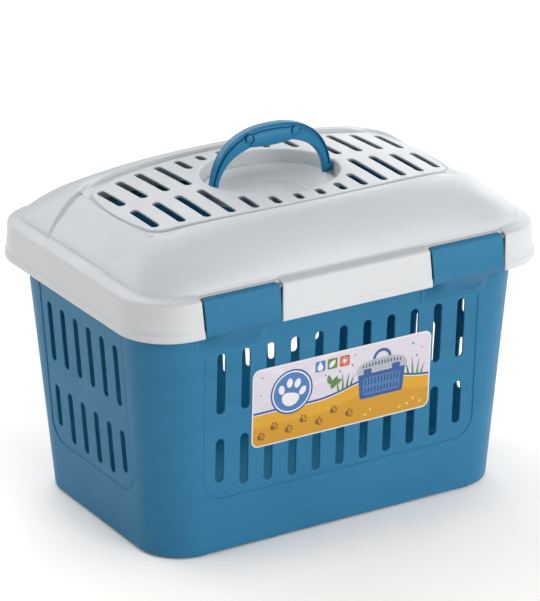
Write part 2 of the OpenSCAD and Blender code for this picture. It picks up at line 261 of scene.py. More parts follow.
def disc(name, p0, axis, prof, n=48):
    """A closed turned solid: prof is a list of (radius, distance along axis from p0)."""
    net = Net()
    ax = Vector(axis).normalized()
    u = ax.orthogonal().normalized()
    v = ax.cross(u)
    p0, ax, u, v = (np.array(q, float) for q in (p0, ax, u, v))
    rings = []
    for r, h in prof:
        t = np.arange(n) * 2 * PI / n
        rings.append(p0 + ax * h + r * (np.outer(np.cos(t), u) + np.outer(np.sin(t), v)))
    net.rings(rings)
    for r in (rings[0], rings[-1]):
        ids = net.put(r)
        c = net.put([r.mean(0)])[0]
        net.tris(np.append(ids, c), [(i, (i + 1) % n, n) for i in range(n)])
    return net


def extrude_x(poly, x0, x1):
    """A closed prism along X from a YZ outline."""
    net = Net()
    a = np.array([(x0, y, z) for y, z in poly], float)
    b = np.array([(x1, y, z) for y, z in poly], float)
    net.rings([a, b])
    pts, t = cdt([np.array(poly, float)])
    for p in (a, b):
        net.tris(net.put(p), t)
    return net


def tool(net, name="tool"):
    me = bpy.data.meshes.new(name)
    me.from_pydata((net.points() * MM).tolist(), [], net.faces)
    bm = bmesh.new()
    bm.from_mesh(me)
    bmesh.ops.remove_doubles(bm, verts=bm.verts, dist=0.002 * MM)
    bmesh.ops.recalc_face_normals(bm, faces=bm.faces)
    bm.to_mesh(me)
    bm.free()
    ob = bpy.data.objects.new(name, me)
    bpy.context.scene.collection.objects.link(ob)
    return ob


# ------------------------------------------------------------------ materials
def nodes_of(name):
    m = bpy.data.materials.new(name)
    m.use_nodes = True
    nt = m.node_tree
    nt.nodes.clear()
    out = nt.nodes.new("ShaderNodeOutputMaterial")
    bs = nt.nodes.new("ShaderNodeBsdfPrincipled")
    nt.links.new(bs.outputs["BSDF"], out.inputs["Surface"])
    return m, nt, bs


def noise(nt, vec, scale, detail=2.0, rough=0.5):
    n = nt.nodes.new("ShaderNodeTexNoise")
    n.inputs["Scale"].default_value = scale
    n.inputs["Detail"].default_value = detail
    n.inputs["Roughness"].default_value = rough
    nt.links.new(vec, n.inputs["Vector"])
    return n.outputs["Fac"]


def ramp(nt, fac, a, b, lo, hi):
    r = nt.nodes.new("ShaderNodeMapRange")
    r.inputs["From Min"].default_value = a
    r.inputs["From Max"].default_value = b
    r.inputs["To Min"].default_value = lo
    r.inputs["To Max"].default_value = hi
    nt.links.new(fac, r.inputs["Value"])
    return r.outputs["Result"]


def mixc(nt, fac, a, b):
    m = nt.nodes.new("ShaderNodeMix")
    m.data_type = "RGBA"
    for sock, val in ((m.inputs[6], a), (m.inputs[7], b)):
        if isinstance(val, (tuple, list)):
            sock.default_value = (*val, 1.0)
        else:
            nt.links.new(val, sock)
    if isinstance(fac, (int, float)):
        m.inputs[0].default_value = fac
    else:
        nt.links.new(fac, m.inputs[0])
    return m.outputs[2]


def math_node(nt, op, a, b=None):
    n = nt.nodes.new("ShaderNodeMath")
    n.operation = op
    for k, v in enumerate((a, b)):
        if v is None:
            continue
        if isinstance(v, (int, float)):
            n.inputs[k].default_value = v
        else:
            nt.links.new(v, n.inputs[k])
    return n.outputs[0]


def moulded(name, base, dark, light, rough=0.42, spec=0.45, grain=0.10, coat=0.0, sss=0.0, edge=0.35):
    """Injection-moulded polypropylene: faint flow clouds, speckle, satin grain, handling scuffs and paler edges."""
    m, nt, bs = nodes_of(name)
    tc = nt.nodes.new("ShaderNodeTexCoord")
    obj = tc.outputs["Object"]
    clouds = noise(nt, obj, 9.0, 3.0, 0.55)
    fine = noise(nt, obj, 140.0, 2.0, 0.5)
    flow = nt.nodes.new("ShaderNodeMapping")
    flow.inputs["Scale"].default_value = (3.0, 3.0, 22.0)
    nt.links.new(obj, flow.inputs["Vector"])
    streak = noise(nt, flow.outputs["Vector"], 4.0, 4.0, 0.6)
    col = mixc(nt, ramp(nt, clouds, 0.3, 0.7, 0.0, 1.0), dark, base)
    col = mixc(nt, ramp(nt, streak, 0.35, 0.75, 0.0, 0.35), col, light)
    col = mixc(nt, ramp(nt, fine, 0.25, 0.75, 0.0, 0.10), col, light)
    geo = nt.nodes.new("ShaderNodeNewGeometry")
    wear = ramp(nt, geo.outputs["Pointiness"], 0.515, 0.60, 0.0, edge)
    patch = ramp(nt, noise(nt, obj, 60.0, 3.0, 0.6), 0.35, 0.65, 0.35, 1.0)
    worn = math_node(nt, "MULTIPLY", wear, patch)
    col = mixc(nt, worn, col, tuple(min(1.0, c * 1.25 + 0.03) for c in light))
    nt.links.new(col, bs.inputs["Base Color"])
    scuff = noise(nt, obj, 26.0, 5.0, 0.65)
    r = ramp(nt, scuff, 0.3, 0.7, rough - 0.05, rough + 0.07)
    nt.links.new(r, bs.inputs["Roughness"])
    bs.inputs["Specular IOR Level"].default_value = spec
    bs.inputs["IOR"].default_value = 1.49
    bs.inputs["Coat Weight"].default_value = coat
    bs.inputs["Coat Roughness"].default_value = 0.25
    if sss:
        bs.inputs["Subsurface Weight"].default_value = sss
        bs.inputs["Subsurface Radius"].default_value = (0.004, 0.004, 0.004)
        bs.inputs["Subsurface Scale"].default_value = 0.5
    g1 = noise(nt, obj, 2600.0, 2.0, 0.5)
    g2 = noise(nt, obj, 420.0, 2.0, 0.5)
    b1 = nt.nodes.new("ShaderNodeBump")
    b1.inputs["Strength"].default_value = grain
    b1.inputs["Distance"].default_value = 0.0002
    nt.links.new(g1, b1.inputs["Height"])
    b2 = nt.nodes.new("ShaderNodeBump")
    b2.inputs["Strength"].default_value = grain * 0.5
    b2.inputs["Distance"].default_value = 0.0005
    nt.links.new(g2, b2.inputs["Height"])
    nt.links.new(b1.outputs["Normal"], b2.inputs["Normal"])
    nt.links.new(b2.outputs["Normal"], bs.inputs["Normal"])
    return m


def srgb(r, g, b):
    f = lambda c: (c / 255 / 12.92) if c / 255 <= 0.04045 else ((c / 255 + 0.055) / 1.055) ** 2.4
    return (f(r), f(g), f(b))


BLUE = moulded("moulded_blue", srgb(41, 103, 137), srgb(37, 97, 130), srgb(48, 111, 145), spec=0.13, edge=0.22)
# painted light: the tub's inside faces get a paler, brighter copy of the blue, standing in for light that reaches the
# inside through the slots and the plastic
BLUE_IN_PAINTED_LIGHT = moulded("moulded_blue_inside_painted_light", srgb(40, 142, 182), srgb(34, 134, 174), srgb(48, 150, 190), rough=0.5, spec=0.2, edge=0.1)
BLUE_GRIP = moulded("moulded_blue_grip", srgb(24, 103, 141), srgb(20, 97, 134), srgb(33, 113, 151), rough=0.36, spec=0.28, edge=0.22)
GREY = moulded("moulded_grey", srgb(181, 184, 187), srgb(177, 180, 183), srgb(186, 188, 190), rough=0.42, spec=0.4, edge=0.25)


# ------------------------------------------------------------------ tub
RIM, CR, WALL, FOOT = 238.5, 41.0, 2.4, 1.6
NX, NY, NA = 26, 14, 20
FOOT_X, FOOT_Y = 127.5, 68.2
FX, FY = np.linspace(0, 1, NX + 1), np.linspace(0, 1, NY + 1)


def thx(z):
    return 171.9 + 0.068 * z


def thy(z):
    return 110.6 + 0.059 * z


def rr(a, b, r, z):
    """Rounded rectangle whose straight parts carry the same columns at every height."""
    q = [(a, (b - r) * f) for f in FY[:-1]]
    q += [(a - r + r * math.cos(t), b - r + r * math.sin(t)) for t in np.linspace(0, PI / 2, NA + 1)]
    q += [((a - r) * f, b) for f in FX[::-1][1:-1]]
    h = q + [(0.0, b)] + [(-x, y) for x, y in q[:0:-1]]
    return np.array([(x, y, z) for x, y in h] + [(-x, -y, z) for x, y in h])


def tub_ring(z, d, r, dy=None):
    return rr(thx(z) + d, thy(z) + (d if dy is None else dy), r, z)


Z_LO, Z_HI = 11.5, 234.4
Z_IN = 14.0


def field(half, z0, z1, r, off):
    """Outline of the sunk field, grown by off: round lower corners, tight upper ones."""
    out = []
    a, rr_, rt = half + off, r + off, max(0.4, 2.0 + off)
    for t in np.linspace(-PI / 2, 0, 19):
        out.append((a - rr_ + rr_ * math.cos(t), z0 - off + rr_ + rr_ * math.sin(t)))
    for z in np.linspace(z0 + r, z1 - 2.0, 22)[1:-1]:
        out.append((a, z))
    for t in np.linspace(0, PI / 2, 7):
        out.append((a - rt + rt * math.cos(t), z1 + off - rt + rt * math.sin(t)))
    right = np.array(out)
    n = 28
    top = np.array([(x, z1 + off) for x in np.linspace(right[-1, 0], -right[-1, 0], n)[1:-1]])
    left = right[::-1] * np.array([-1, 1])
    bot = np.array([(x, z0 - off) for x in np.linspace(-right[0, 0], right[0, 0], n)[1:-1]])
    return np.vstack([right, top, left, bot])


def wall_panel(net, place, half, fr, slots, fh, zf0):
    """One flat wall: outer face with its sunk field, slots with rounded edges, and inner face."""
    def pts(p, depth):
        return np.array([place(s, z, depth) for s, z in p])

    def border(z0, z1):
        zs = np.linspace(z0, z1, 38)
        f = np.concatenate([-fr[::-1], fr[1:]])
        lo = [(half(z0) * k, z0) for k in f]
        hi = [(half(z1) * k, z1) for k in f[::-1]]
        right = [(half(z), z) for z in zs[1:-1]]
        left = [(-half(z), z) for z in zs[1:-1][::-1]]
        return np.array(lo + right + hi + left)

    step = [(1.0, 0.0), (0.7, 0.03), (0.5, 0.14), (0.36, 0.36), (0.24, 0.66), (0.08, 0.86), (-0.2, 0.94), (-0.5, 0.88), (-0.8, 0.72), (-1.1, 0.58), (-1.5, 0.51), (-1.9, 0.5)]
    out = [field(fh, zf0, 227.5, 20, o) for o, d in step]
    b = border(Z_LO, Z_HI)
    p, t = cdt([b], [out[0]])
    net.tris(net.put(pts(p, 0.0)), t)
    net.rings([pts(o, d[1]) for o, d in zip(out, step)])
    q, qi = 0.75, 0.5
    sup = [stadium(c, z0, z1, SLOT_W, q + 0.5) for c, z0, z1 in slots]
    p, t = cdt([out[-1]], sup)
    net.tris(net.put(pts(p, 0.5)), t)
    bi = border(Z_IN, Z_HI)
    supi = [stadium(c, z0, z1, SLOT_W, qi + 0.4) for c, z0, z1 in slots]
    p, t = cdt([bi], supi)
    net.tris(net.put(pts(p, WALL)), t)
    for (c, z0, z1) in slots:
        rings = [pts(stadium(c, z0, z1, SLOT_W, q + 0.5), 0.5)]
        rings += [pts(stadium(c, z0, z1, SLOT_W, o), 0.5 + d) for o, d in fillet(q)]
        rings += [pts(stadium(c, z0, z1, SLOT_W, o), WALL - d) for o, d in fillet(qi, 3)[::-1]]
        rings += [pts(stadium(c, z0, z1, SLOT_W, qi + 0.4), WALL)]
        net.rings(rings)
    return np.linspace(Z_LO, Z_HI, 38), np.linspace(Z_IN, Z_HI, 38)


SLOT_W = 7.7


def long_slots(off=0.0):
    out = []
    for i in range(-5, 6):
        out.append((i * 23.6 + off, 129.7, 184.5))
        out.append((i * 23.6 + off, 66.5 if abs(i) == 5 else 55.2 + 0.3 * i * i, 106.6))
    return out


def end_slots():
    out = []
    for j in range(6):
        c = (j - 2.5) * 23.2
        out.append((c, 129.7, 184.5))
        out.append((c, 68.0 if j in (0, 5) else 59.0, 106.6))
    return out


def make_tub():
    net = Net()
    for sg in (-1, 1):
        zo, zi = wall_panel(net, lambda s, z, d, g=sg: (s * -g, g * (thy(z) - d), z),
                            lambda z: thx(z) - CR, FX, long_slots(2.0 if sg > 0 else 0.0), 134.5, 51.0)
        wall_panel(net, lambda s, z, d, g=sg: (g * (thx(z) - d), s * g, z),
                   lambda z: thy(z) - CR, FY, end_slots(), 72.3, 51.0)
    arc = np.linspace(0, PI / 2, NA + 1)
    for sx in (-1, 1):
        for sy in (-1, 1):
            for zs, d in ((zo, 0.0), (zi, WALL)):
                net.rings([[(sx * (thx(z) - CR + (CR - d) * math.cos(t)), sy * (thy(z) - CR + (CR - d) * math.sin(t)), z)
                            for t in arc] for z in zs], closed=False)
    # rim: flange out, lip down, rounded top, inner edge
    ox, oy = 193.5 - thx(RIM), 133.1 - thy(RIM)
    prof = [(Z_HI, 0, 0, 41), (234.55, 0.12, 0.12, 41.1), (234.78, 0.5, 0.5, 41.4), (234.9, 1.0, 1.0, 42),
            (234.9, ox - 2.5, oy - 2.5, 44.8), (234.6, ox - 2.2, oy - 2.2, 45), (231.3, ox - 1.8, oy - 1.8, 45.3),
            (230.95, ox - 1.5, oy - 1.5, 45.6), (230.95, ox - 0.5, oy - 0.5, 46.6), (231.15, ox - 0.12, oy - 0.12, 46.9),
            (231.5, ox, oy, 47), (234.5, ox, oy, 47), (237.4, ox, oy, 47), (238.0, ox - 0.2, oy - 0.2, 46.8), (238.35, ox - 0.55, oy - 0.55, 46.5),
            (238.5, ox - 1.1, oy - 1.1, 46), (238.5, 1.0, 1.0, 42.4), (238.5, -1.3, -1.3, 40), (238.36, -1.85, -1.85, 39.3),
            (238.0, -2.25, -2.25, 38.8), (237.4, -2.4, -2.4, 38.6), (236, -2.4, -2.4, 38.6), (Z_HI, -2.4, -2.4, 38.6)]
    net.rings([tub_ring(z, dx, r, dy) for z, dx, dy, r in prof])
    # rounded bottom edge outside and in
    low = [(11.5, 0, 41), (8.0, 0, 41), (5.0, 0, 41), (3.2, 0, 41), (2.55, -0.04, 41), (2.15, -0.16, 40.9), (1.88, -0.34, 40.7),
           (1.7, -0.6, 40.4), (1.62, -0.85, 40.2), (FOOT, -1.15, 39.9)]
    rings = [tub_ring(z, d, r) for z, d, r in low]
    net.rings(rings)
    inn = [(14, -2.4, 38.6), (10.3, -2.6, 38.4), (7.9, -3.2, 37.8), (6.1, -4.2, 36.8), (4.9, -5.6, 35.4), (4.2, -7.4, 33.6), (4.0, -9.6, 31.4)]
    ri = [tub_ring(z, d, r) for z, d, r in inn]
    net.rings(ri)
    net.cap(ri[-1])
    # corner feet under the bottom plane
    feet = []
    for sx in (-1, 1):
        for sy in (-1, 1):
            def outline(off, sx=sx, sy=sy):
                bx, by = 167.9, 108.6
                r0, w = 39.0, 12.0
                x0, y0 = FOOT_X, FOOT_Y
                o = [(x0 - off, by + off)] + [(bx - r0 + (r0 + off) * math.cos(t), by - r0 + (r0 + off) * math.sin(t)) for t in np.linspace(PI / 2, 0, 17)] + [(bx + off, y0 - off)]
                i = [(bx - w - off, y0 - off)] + [(bx - r0 + (r0 - w - off) * math.cos(t), by - r0 + (r0 - w - off) * math.sin(t)) for t in np.linspace(0, PI / 2, 17)] + [(x0 - off, by - w - off)]
                return np.array([(sx * x, sy * y) for x, y in o + i])
            feet.append(outline(0.6))
            lv = [(0.6, FOOT), (0.3, 1.54), (0.1, 1.38), (0.0, 1.1), (0.0, 0.7), (-0.05, 0.42), (-0.2, 0.18), (-0.45, 0.05), (-0.8, 0.0)]
            fr = [np.array([(x, y, z) for x, y in outline(o)]) for o, z in lv]
            net.rings(fr)
            net.cap(fr[-1])
    # small ribs between the feet of the long sides
    for sx in (-1, 1):
        for sy in (-1, 1):
            def rib(off, sx=sx, sy=sy):
                return stadium(0.0, -7.5, 7.5, 4.4, off, 6)[:, ::-1] * (1, 1) + (sx * 65.0, sy * 106.2)
            feet.append(rib(0.5))
            fr = [np.column_stack([rib(o), np.full(len(rib(o)), z)]) for o, z in ((0.5, FOOT), (0.2, 1.52), (0.0, 1.25), (0.0, 0.6), (-0.15, 0.3), (-0.4, 0.15))]
            net.rings(fr)
            net.cap(fr[-1])
    p, t = cdt([rings[-1][:, :2]], feet)
    net.tris(net.put(np.column_stack([p, np.full(len(p), FOOT)])), t)
    ob = net.build("tub_shell")
    ob.data.materials.append(BLUE)
    return ob


# ------------------------------------------------------------------ lid
def crown(x, y):
    return 285.9 - 4.0 * (x / 150) ** 2 - 5.73 * (x / 150) ** 4 - 2.43 * (y / 80) ** 2


def crest(x):
    return 285.1 - 2.2 * (x / 150) ** 2 - 6.3 * (x / 150) ** 4


def band(x):
    return 82 - 5.2e-4 * x * x - 1.25e-8 * x ** 4


def quarter_curve(a, b, r, kx=0.0, ky=0.0):
    """Dense quarter of a bowed rounded rectangle from (a, 0) to (0, b), with its arc length."""
    p = [(a, y) for y in np.linspace(0, b - r, 160)[:-1]]
    p += [(a - r + r * math.cos(t), b - r + r * math.sin(t)) for t in np.linspace(0, PI / 2, 260)]
    p += [(x, b) for x in np.linspace(a - r, 0, 240)[1:]]
    p = np.array(p)
    q = np.column_stack([p[:, 0] - kx * p[:, 1] ** 2 * p[:, 0] / a, p[:, 1] - ky * p[:, 0] ** 2 * p[:, 1] / b])
    s = np.concatenate([[0], np.cumsum(np.linalg.norm(np.diff(q, axis=0), axis=1))])
    return q, s


TOP_SHIFT, DISH_Y = 1.3, 1.0                # the top sits a little right of the middle, the dish a little back
XN0, XN1 = 71.6, 148.0                     # sides of a clip notch
XC = np.unique(np.concatenate([
    np.linspace(0, XN0 - 2.4, 15), XN0 - np.array([1.6, 1.0, 0.6, 0.28, 0.08, 0.0]),
    np.linspace(XN0, XN1, 17)]).round(5))[::-1]
GA, GB = 14, 26                            # columns before and after the crease
CO = np.array([-2.6, -2.0, -1.5, -1.0, -0.5, 0.0, 0.5, 1.0, 1.5, 2.0, 2.6])
ED = np.array([1.6, 1.0, 0.6, 0.28, 0.08])  # columns just outside the notch


def columns(curve, xb, crease=None):
    """Points of a quarter ring on the lid's columns, and each one's place across the crease (0 band, 1 lobe)."""
    q, s = curve
    i0 = int(np.argmax(q[:, 1] >= band(q[:, 0]))) if crease is None else None
    lc = s[i0] if crease is None else np.interp(crease, q[:, 1], s)
    lb = float(np.interp(-xb, -q[:, 0], s))
    k = min(1.0, (lb - lc) / 6.5)
    co = CO * np.where(CO > 0, k, 1.0)
    g = 3.2
    part = [np.linspace(0, lc - g, GA + 1), lc + co, np.linspace(lc + g * k, lb - 2.2 * min(1, k), GB + 1), lb - ED * min(1.0, k)]
    pos = np.concatenate(part)
    w = np.concatenate([np.zeros(GA + 1), ease((CO + 2.1) / 4.2), np.ones(GB + 1 + len(ED))])
    x = np.interp(pos, s, q[:, 0])
    y = np.interp(pos, s, q[:, 1])
    xs = XC * xb / XN1
    ys = np.interp(-xs, -q[:, 0], q[:, 1])
    return np.column_stack([np.concatenate([x, xs]), np.concatenate([y, ys])]), np.concatenate([w, np.ones(len(xs))])


def crest_curve():
    """Plan of the dome's crest: the end margin, a tight corner, and the long crease."""
    p = [(154.7 - 0.0015 * y * y, y) for y in np.linspace(0, 59, 120)]
    a, c, b = np.array(p[-1]), np.array((148.2, 65.6)), np.array((140.0, band(140.0) + 0.3))
    p += [tuple(a * (1 - t) ** 2 + 2 * c * t * (1 - t) + b * t * t) for t in np.linspace(0, 1, 90)[1:]]
    p += [(x, band(x) + 0.3) for x in np.linspace(140, 0, 260)[1:]]
    q = np.array(p)
    return q, np.concatenate([[0], np.cumsum(np.linalg.norm(np.diff(q, axis=0), axis=1))])


def whole(q):
    """All four quarters from one that runs from (a, 0) to (0, b); extra columns of values go along."""
    q = np.asarray(q)
    sx = np.ones(q.shape[1]); sx[0] = -1
    sy = np.ones(q.shape[1]); sy[1] = -1
    h = np.vstack([q, (q[::-1][1:]) * sx])     # (a,0) .. (0,b) .. (-a,0)
    low = (h[::-1][1:-1]) * sy                 # back along -y, without both ends
    return np.vstack([h, low])


def notch_cols(n):
    """Which of the n columns of a whole ring lie in a notch, and the notch's two edge columns, for each of the four."""
    nq = GA + 1 + len(CO) + GB + 1 + len(ED)
    i1 = nq                                    # x = 148
    i0 = nq + int(np.argmin(np.abs(XC - XN0)))  # x = 71.6
    full = nq + len(XC) - 1                    # index of (0, b)
    out = [(i1, i0), (2 * full - i0, 2 * full - i1)]
    half = 2 * full                            # index of (-a, 0)
    out += [(half + i1, half + i0), (half + 2 * full - i0, half + 2 * full - i1)]
    return out


def oval(a, b, n=160):
    t = np.arange(n) * 2 * PI / n
    return np.column_stack([a * np.cos(t), b * np.sin(t) + DISH_Y])


def panel_outline(g):
    """Outline of the raised panel grown by g."""
    a, b, r = 151.9 + g, 76.0 + g, 11 + g
    q = [(a, y) for y in np.linspace(0, b - r, 24)[:-1]]
    q += [(a - r + r * math.cos(t), b - r + r * math.sin(t)) for t in np.linspace(0, PI / 2, 15)]
    q += [(x, b) for x in np.linspace(a - r, 0, 50)[1:]]
    q = np.array(q)
    q = np.column_stack([q[:, 0] - 0.0015 * q[:, 1] ** 2 * q[:, 0] / a, q[:, 1] - 8e-4 * q[:, 0] ** 2 * q[:, 1] / b])
    return whole(q)


def lid_slots():
    near = [56.9, 52.5, 39.2, 7.2, 7.2, 7.2, 7.2]
    far = [59.5, 55.7, 42.4, 7.2, 7.2, 7.2, 7.2]
    out = []
    for i in range(7):
        x = (i + 0.5) * 21.3
        y1 = 71.1 - 19.2 * (x / 150) ** 2 - 6.5 * (x / 150) ** 4
        for sx in (-1, 1):
            out.append((sx * x, far[i], y1))
            out.append((sx * x, -y1, -near[i]))
    return out


def shift_top(p):
    """Lid points moved right towards the top, and the clip notches' sides drafted."""
    x, y, z = p[:, 0], p[:, 1], p[:, 2]
    t = np.clip((245 - z) / 34, 0, 1)
    f = 1 - ease((z - 245.4) / 4.5)
    d = np.zeros(len(p))
    for x0, x1 in ((-XN1, -XN0), (XN0, XN1)):
        a, b = 1.2 + 1.8 * t, 1.2 - 1.8 * t
        w0 = 1 - ease((x0 - x) / 22)
        w1 = 1 - ease((x - x1) / 22)
        q = np.clip((x - x0) / (x1 - x0), 0, 1)
        d += np.where(x < x0, a * w0, np.where(x > x1, b * w1, a * (1 - q) + b * q))
    out = p.copy()
    out[:, 0] = x + d * f + TOP_SHIFT * ease((z - 246.6) / 32)
    return out


def dome_grid(srange):
    """Outer dome: rows from the crest (s = 1) to the foot (s = 0)."""
    rows, ws = [], []
    turn = 0.88
    crest_q, _ = columns(crest_curve(), 139.0, crease=63.0)
    for s in srange:
        u = min(s, turn)
        a, b, r = 187.5 - 33 * u, 129.5 - 46.7 * u, 40 - 26 * u
        q, w = columns(quarter_curve(a, b, r, 0.0015 * u, 8e-4 * u), 148 - 8.5 * u)
        if s > turn:
            t = (s - turn) / (1 - turn)
            q = q * (1 - t) + crest_q * t
        v = whole(np.column_stack([q, w]))
        rise = (1 - (1 - s) ** 1.9) ** 0.74
        top = crest(v[:, 0])
        lip = crown(v[:, 0], np.clip(v[:, 1], -76, 76)) - 0.6     # the lobes' crest dies away towards its corners
        near_end = ease((np.abs(v[:, 0]) - 122) / 22) * ease((s - 0.80) / 0.20)
        top = top + (lip - top) * near_end * v[:, 2]
        z = 246.6 + (top - 246.6) * rise
        rows.append(np.column_stack([v[:, 0], v[:, 1], z]))
        ws.append(v[:, 2])
    g, w = np.array(rows), np.array(ws)
    ds = np.gradient(g, np.array(srange), axis=0)
    du = np.roll(g, -1, 1) - np.roll(g, 1, 1)
    n = np.cross(du, ds)
    n /= np.linalg.norm(n, axis=2, keepdims=True) + 1e-12
    n *= np.where((n[..., 2:3] < 0), -1, 1)
    return g, w, n


FLANGE = [  # a, b, r, z and how much of the notch-end rounding applies
    (187.5, 129.5, 40.0, 246.6, 0.0), (188.0, 130.05, 40.3, 245.9, 0.0), (188.9, 131.1, 41.0, 245.2, 0.3), (190.2, 132.6, 42.2, 244.65, 0.7),
    (192.0, 134.5, 43.3, 244.2, 1), (194.0, 136.6, 44.3, 243.72, 1), (195.3, 137.9, 45.0, 243.35, 1), (196.2, 138.8, 45.5, 242.95, 1),
    (196.9, 139.5, 45.9, 242.4, 1), (197.35, 139.95, 46.0, 241.75, 1), (197.62, 140.22, 46.0, 240.9, 1), (197.75, 140.35, 46.1, 239.8, 1),
    (198.3, 140.9, 46.4, 231.5, 1), (198.85, 141.45, 46.8, 223.6, 1), (199.18, 141.78, 47.0, 218.6, 1), (199.28, 141.88, 47.0, 217.9, 1), (199.62, 142.22, 47.0, 217.45, 1),
    (199.92, 142.52, 47.0, 217.05, 1), (200.0, 142.6, 47.0, 216.4, 1), (200.0, 142.6, 47.0, 211.9, 1), (199.9, 142.5, 47.0, 211.2, 1), (199.6, 142.2, 47.0, 210.75, 1), (199.1, 141.7, 46.8, 210.6, 1),
    (198.3, 140.9, 46.2, 210.6, 1), (197.9, 140.5, 46.0, 210.8, 1), (197.75, 140.35, 46.0, 211.3, 1), (197.4, 140.0, 46.0, 217.0, 1), (196.3, 138.9, 45.5, 228.5, 1), (195.3, 137.9, 45.1, 238.6, 1),
    (194.9, 137.5, 44.8, 240.0, 1), (194.0, 136.6, 44.3, 240.85, 1), (192.6, 135.2, 43.4, 241.3, 1), (190.5, 133.1, 42.5, 241.7, 0.5), (188.6, 131.2, 41.5, 242.1, 0.0), (186.6, 128.9, 40.1, 243.1, 0.0), (185.2, 127.2, 39.0, 244.2, 0.0)]


def make_lid():
    net = Net()
    # dome, crest to foot
    srange = [1.0, 0.985, 0.965, 0.94, 0.91, 0.88, 0.84, 0.8, 0.76, 0.715, 0.67, 0.62, 0.57, 0.52, 0.47, 0.42, 0.37, 0.325, 0.28, 0.24, 0.2, 0.165, 0.13, 0.1, 0.075, 0.052, 0.033, 0.018, 0.007, 0.0]
    g, w, n = dome_grid(srange)
    s = np.array(srange)[:, None]
    y2 = (g[..., 1] / 62) ** 2
    h = (1.2 + 1.6 * np.sin(PI * (1 - s)) + 1.46 * y2 * s ** 2) * (0.6 + 0.4 * np.clip(5 * s, 0, 1)) + 0.5 * (1 - np.clip(5 * s, 0, 1))
    nn = n.copy()
    flat = 1 - np.clip(s * 12, 0, 1)[..., None]
    hor = nn.copy(); hor[..., 2] = 0
    hor /= np.linalg.norm(hor, axis=2, keepdims=True) + 1e-9
    nn = nn * (1 - flat) + hor * flat
    nn[0] = (0, 0, 1)
    nn /= np.linalg.norm(nn, axis=2, keepdims=True)
    outer = g - nn * (h * (1 - w))[..., None]
    N = outer.shape[1]
    foot = outer[-1]
    net.rings(list(outer))
    # inner dome, a wall's thickness inside, from the last flange row up to the crest
    pick = [k for k, v in enumerate(srange) if v in (1.0, 0.94, 0.88, 0.8, 0.715, 0.62, 0.52, 0.42, 0.325, 0.24, 0.165, 0.1)]
    inner = []
    for k in pick:
        t = 2.3 + 0.1 * srange[k]
        row = outer[k] - n[k] * t
        if k == 0:
            row = outer[0] - np.array([0, 0, 2.4])
        inner.append(row)
    # flange, skirt and underside rows on the same columns
    rows = []
    for a, b, r, z, f in FLANGE:
        q, _ = columns(quarter_curve(a, b, r), XN1, crease=48.5)
        v = whole(q)
        rows.append(np.column_stack([v, np.full(len(v), z)]))
    rows[0] = foot.copy()
    jog = rows[0][:, :2] - whole(columns(quarter_curve(*FLANGE[0][:3]), XN1, crease=48.5)[0])
    for k, f in ((1, 0.85), (2, 0.6), (3, 0.3)):
        rows[k][:, :2] += jog * f
    # rounding of the skirt's ends beside the notches
    prof = np.array([(b, z) for a, b, r, z, f in FLANGE])
    spine = np.array([(130.5, 243.9), (134.5, 242.7), (137.4, 241.95), (138.5, 240.8), (139.7, 229.0), (140.7, 217.5), (141.15, 212.0)])
    best = np.full(len(prof), 1e9)
    move = np.zeros_like(prof)
    for p0, p1 in zip(spine[:-1], spine[1:]):
        t = np.clip(((prof - p0) @ (p1 - p0)) / ((p1 - p0) @ (p1 - p0)), 0, 1)[:, None]
        v = p0 + t * (p1 - p0) - prof
        dist = np.linalg.norm(v, axis=1)
        better = dist < best
        best = np.where(better, dist, best)
        move[better] = v[better]
    nrm = move / np.maximum(best, 1e-6)[:, None]
    lim = np.array([f for *_, f in FLANGE])
    edges = notch_cols(N)
    q0 = 0.95
    for i0, i1 in edges:
        for col, step in ((i0, -1), (i1, 1)):
            for m, d in enumerate((0.0, 0.08, 0.28, 0.6)):
                c = col + step * m
                dd = q0 * (1 - math.sqrt(max(0.0, 1 - ((q0 - d) / q0) ** 2))) if d < q0 else 0.0
                dd = min(dd, 0.85)
                sg = np.sign(rows[5][c, 1])
                for k in range(len(rows)):
                    go = min(dd, 0.8 * best[k]) * lim[k]
                    rows[k][c, 1] += sg * nrm[k, 0] * go
                    rows[k][c, 2] += nrm[k, 1] * go
    ids = [net.put(r) for r in rows]
    skip = np.zeros(N, bool)
    for i0, i1 in edges:
        skip[i0:i1] = True
    for a, b in zip(ids[:-1], ids[1:]):
        for i in range(N):
            if not skip[i]:
                j = (i + 1) % N
                net.faces.append((int(a[i]), int(a[j]), int(b[j]), int(b[i])))
    # inside a notch: a cut face from the flange's root down to the underside
    for i0, i1 in edges:
        cols = list(range(i0, i1 + 1))
        sg = np.sign(rows[5][i0, 1])
        x = rows[0][cols, 0]
        last = rows[-1][cols]
        cut = [(130.35, 245.45), (130.52, 245.05), (130.6, 244.5), (130.6, 243.4), (130.55, 242.85), (130.3, 242.75)]
        grid = [rows[0][cols], rows[1][cols]]
        grid += [np.column_stack([x, np.full(len(x), sg * y), np.full(len(x), z)]) for y, z in cut]
        grid += [rows[-2][cols], last]
        # the first two rows are the flange's own
        net.rings(grid, closed=False)
        for c in (0, -1):
            col = cols[c]
            reg = [r[col] for r in rows[1:-1]]
            own = [gr[c] for gr in grid[1:-1]]
            loop = np.array(reg + own[::-1][1:-1])
            lid_ids = net.put(loop)
            p, t = cdt([loop[:, 1:]])
            net.tris(lid_ids, t)
    # underside dome
    ring_u = [rows[-1]] + inner[::-1]
    net.rings(ring_u)
    # step up from the margin to the lobes, on the dome's columns
    top = outer[0]
